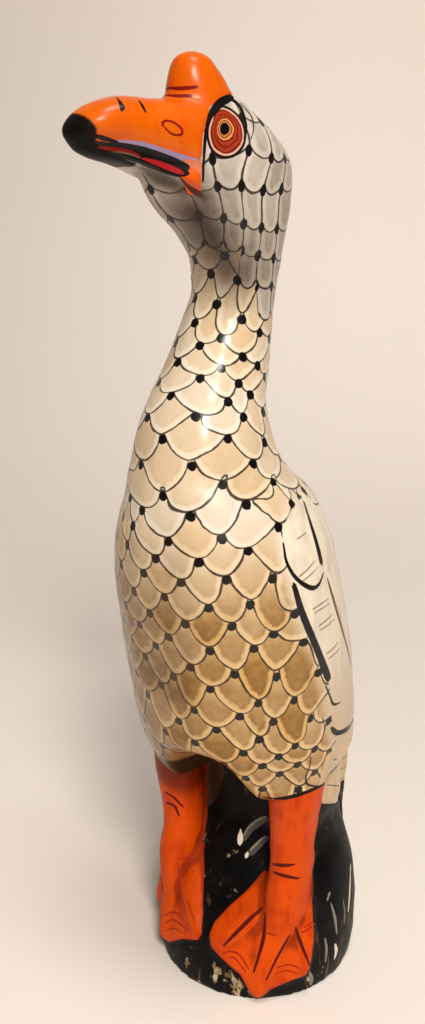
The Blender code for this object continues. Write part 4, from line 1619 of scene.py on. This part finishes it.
lacquerLook = {
    # Roughness: on cream, how uneven it is, and how much is added on black and in hollows
    "rough": 0.24,
    "uneven": 0.24,
    "clouds": {"length": 22.0, "detail": 4.0, "rough": 0.6},
    "onBlack": 0.16,
    "inHollows": (0.05, 0.4),
    "hollowRough": 0.2,
    # Coat: its weight on cream, and how much less it is elsewhere
    "weight": 0.5,
    "lessOnBill": 0.26,
    "lessOnLegs": 0.43,
    "lessOnBlack": 2.9,  # times what black adds to the roughness
    "lessUnder": 0.4,
    "coatRough": 0.21,
    "specular": 0.12,
    # Relief of the brush marks, in metres, and what each grain has in it
    "relief": 0.0004,
    "reliefStrength": 0.5,
    "streaks": 0.6,
    "waves": 0.9,
    "lines": 0.12,
}


def lacquer(tree, shader, skin, onBlack, onBill, onLegs, lines):
    # Old lacquer over it all
    look = lacquerLook
    dark = times(tree, onBlack, look["onBlack"])
    clouds = noise(tree, skin["place"], **look["clouds"])
    rough = plus(tree, timesPlus(tree, clouds, look["uneven"], look["rough"]), dark)
    hollows = soft(tree, skin["hollow"], *look["inHollows"])
    feed(tree, shader.inputs["Roughness"], plus(tree, rough, times(tree, hollows, look["hollowRough"])))
    less = [times(tree, onBill, look["lessOnBill"]), times(tree, onLegs, look["lessOnLegs"])]
    less = larger(tree, *less)
    less = timesPlus(tree, dark, look["lessOnBlack"], less)
    less = timesPlus(tree, skin["under"], look["lessUnder"], less)
    feed(tree, shader.inputs["Coat Weight"], minus(tree, look["weight"], less, clamp=True))
    shader.inputs["Coat Roughness"].default_value = look["coatRough"]
    shader.inputs["Specular IOR Level"].default_value = look["specular"]
    bump = addNode(tree, "ShaderNodeBump")
    bump.inputs["Strength"].default_value = look["reliefStrength"]
    bump.inputs["Distance"].default_value = look["relief"]
    height = times(tree, skin["streak"], look["streaks"])
    height = timesPlus(tree, skin["wide"], look["waves"], height)
    feed(tree, bump.inputs["Height"], timesPlus(tree, lines, look["lines"], height))
    feed(tree, shader.inputs["Normal"], bump.outputs[0])


def paintedWood():
    material = bpy.data.materials.new("Painted wood")
    material.use_nodes = True
    tree = material.node_tree
    tree.nodes.clear()
    output = addNode(tree, "ShaderNodeOutputMaterial")
    shader = addNode(tree, "ShaderNodeBsdfPrincipled")
    feed(tree, output.inputs["Surface"], shader.outputs[0])
    skin = skinOf(tree)
    ragged = skin["ragged"]

    # The coat of cream, from the wing's white up to the dots and the tail
    colour, lines, dots = scaleCoat(tree, skin)
    colour = wingPaintOver(tree, skin, colour)
    # Painted shadow of the head on the throat and neck
    headShadow = times(tree, skin["throat"], timesPlus(tree, skin["wide"], *dirtAndShadeLook["headShadowShare"], clamp=True))
    colour = blend(tree, headShadow, colour, dirtAndShadeLook["headShadow"])
    colour = blend(tree, times(tree, lines, coat["lineShare"]), colour, coat["line"])
    colour = blend(tree, dots, colour, paints["ink"])
    colour = rumpPaintOver(tree, skin, colour)
    colour = tailFeathers(tree, skin, colour)
    colour = dirtAndShadeOver(tree, skin, colour)

    # The mound's black, the orange of legs and bill, and the bill's black tip
    onMound = inside(tree, plus(tree, skin["mound"], ragged), moundLook["edge"])
    colour = blend(tree, onMound, colour, moundColour(tree, skin))
    legEdge = plus(tree, skin["legs"], times(tree, ragged, legLook["raggedShare"]))
    onLegs = inside(tree, legEdge, legLook["edge"])
    colour = blend(tree, onLegs, colour, legColour(tree, skin))
    billEdge = plus(tree, skin["bill"], times(tree, ragged, billLook["raggedShare"]))
    onBill = inside(tree, billEdge, billLook["edge"])
    colour = blend(tree, onBill, colour, billColour(tree, skin))
    onTip = inside(tree, plus(tree, skin["tip"], ragged), billLook["tipEdge"])
    colour = blend(tree, onTip, colour, paints["ink"])
    colour = eyeOver(tree, skin, colour)
    colour = strokesOver(tree, skin, colour)
    feed(tree, shader.inputs["Base Color"], colour)
    lacquer(tree, shader, skin, larger(tree, onMound, onTip), onBill, onLegs, lines)
    return material


duck.data.materials.clear()
duck.data.materials.append(paintedWood())
print("paint ready")


# Studio: a pale floor and soft lights about the photo's camera
studio = {
    "paper": (246, 236, 227),  # screen colour
    # Metres: how far the backdrop reaches forward, where it turns up, its bend, height and half width
    "backdrop": {"ahead": 3.0, "behind": 0.75, "bend": 0.7, "bendSteps": 12, "tall": 2.6, "half": 3.5},
    "paperRough": 0.9,
    "key": {"place": (0.96, -1.02, 1.46), "size": 0.5, "watts": 30.0, "colour": (1.0, 0.94, 0.86)},
    "fill": {"place": (-1.2, -0.9, 0.25), "size": 1.2, "watts": 0.5, "colour": (1.0, 0.66, 0.4)},
    "top": {"place": (0.34, -0.2, 1.8), "size": 0.5, "watts": 11.0, "colour": (1.0, 0.97, 0.94)},
    "rear": {"place": (-0.2, 0.6, 1.7), "size": 0.6, "watts": 1.0, "colour": (1.0, 0.95, 0.92)},
    "rearSpread": 1.1,
    "target": (0.0, -0.02, 0.22),
    "rearTarget": (-0.5, 1.3, 0.0),
    "sky": (0.86, 0.84, 0.82),
    "skyStrength": 0.075,
}


def turned(place, ahead, up):
    # The matrix of a thing that looks along its own -Z
    back = -Vector(ahead).normalized()
    side = Vector(up).cross(back).normalized()
    over = back.cross(side)
    return Matrix(
        (
            (side.x, over.x, back.x, place[0]),
            (side.y, over.y, back.y, place[1]),
            (side.z, over.z, back.z, place[2]),
            (0, 0, 0, 1),
        )
    )


def addCamera():
    place, ahead, _, up = eyeAxes()
    data = bpy.data.cameras.new("Photo camera")
    data.sensor_width = photoEye["sensor"]
    data.lens = data.sensor_width * photoEye["focalPixels"] / photoEye["tall"]
    data.clip_start = photoEye["clipStart"]
    camera = bpy.data.objects.new("Photo camera", data)
    bpy.context.scene.collection.objects.link(camera)
    camera.matrix_world = turned(place, ahead, up)
    bpy.context.scene.camera = camera


def addLamp(name, target, spread=math.pi):
    look = studio[name]
    data = bpy.data.lights.new(name, "AREA")
    data.shape = "DISK"
    data.size = look["size"]
    data.energy = look["watts"]
    data.color = look["colour"]
    data.spread = spread
    lamp = bpy.data.objects.new(name, data)
    bpy.context.scene.collection.objects.link(lamp)
    lamp.matrix_world = turned(look["place"], Vector(target) - Vector(look["place"]), (0, 0, 1))


def addBackdrop():
    # Paper that lies flat, bends and stands up behind the carving, square to the line of sight
    look = studio["backdrop"]
    _, ahead, right, _ = eyeAxes()
    away = Vector((ahead[0], ahead[1], 0)).normalized()
    side = Vector(right)
    profile = [(-look["ahead"], 0.0)]
    for step in range(look["bendSteps"] + 1):
        turn = math.pi / 2 * step / look["bendSteps"]
        profile.append((look["behind"] + look["bend"] * math.sin(turn), look["bend"] * (1 - math.cos(turn))))
    profile.append((look["behind"] + look["bend"], look["tall"]))
    sides = (-look["half"], look["half"])
    corners = [away * d + side * s + Vector((0, 0, z)) for d, z in profile for s in sides]
    faces = [(2 * n, 2 * n + 1, 2 * n + 3, 2 * n + 2) for n in range(len(profile) - 1)]
    mesh = bpy.data.meshes.new("Backdrop")
    mesh.from_pydata(corners, [], faces)
    for polygon in mesh.polygons:
        polygon.use_smooth = True
    floor = bpy.data.objects.new("Backdrop", mesh)
    bpy.context.scene.collection.objects.link(floor)
    paper = bpy.data.materials.new("Paper")
    paper.use_nodes = True
    shader = paper.node_tree.nodes["Principled BSDF"]
    shader.inputs["Base Color"].default_value = shade(studio["paper"])
    shader.inputs["Roughness"].default_value = studio["paperRough"]
    mesh.materials.append(paper)


addCamera()
for lampName in ("key", "fill", "top"):
    addLamp(lampName, studio["target"])
addLamp("rear", studio["rearTarget"], studio["rearSpread"])
addBackdrop()
world = bpy.data.worlds.new("Studio")
world.use_nodes = True
world.node_tree.nodes["Background"].inputs["Color"].default_value = (*studio["sky"], 1)
world.node_tree.nodes["Background"].inputs["Strength"].default_value = studio["skyStrength"]
bpy.context.scene.world = world
bpy.context.scene.view_settings.view_transform = "Standard"
print("studio ready")

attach(duck, "root")
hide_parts("duck_carving")
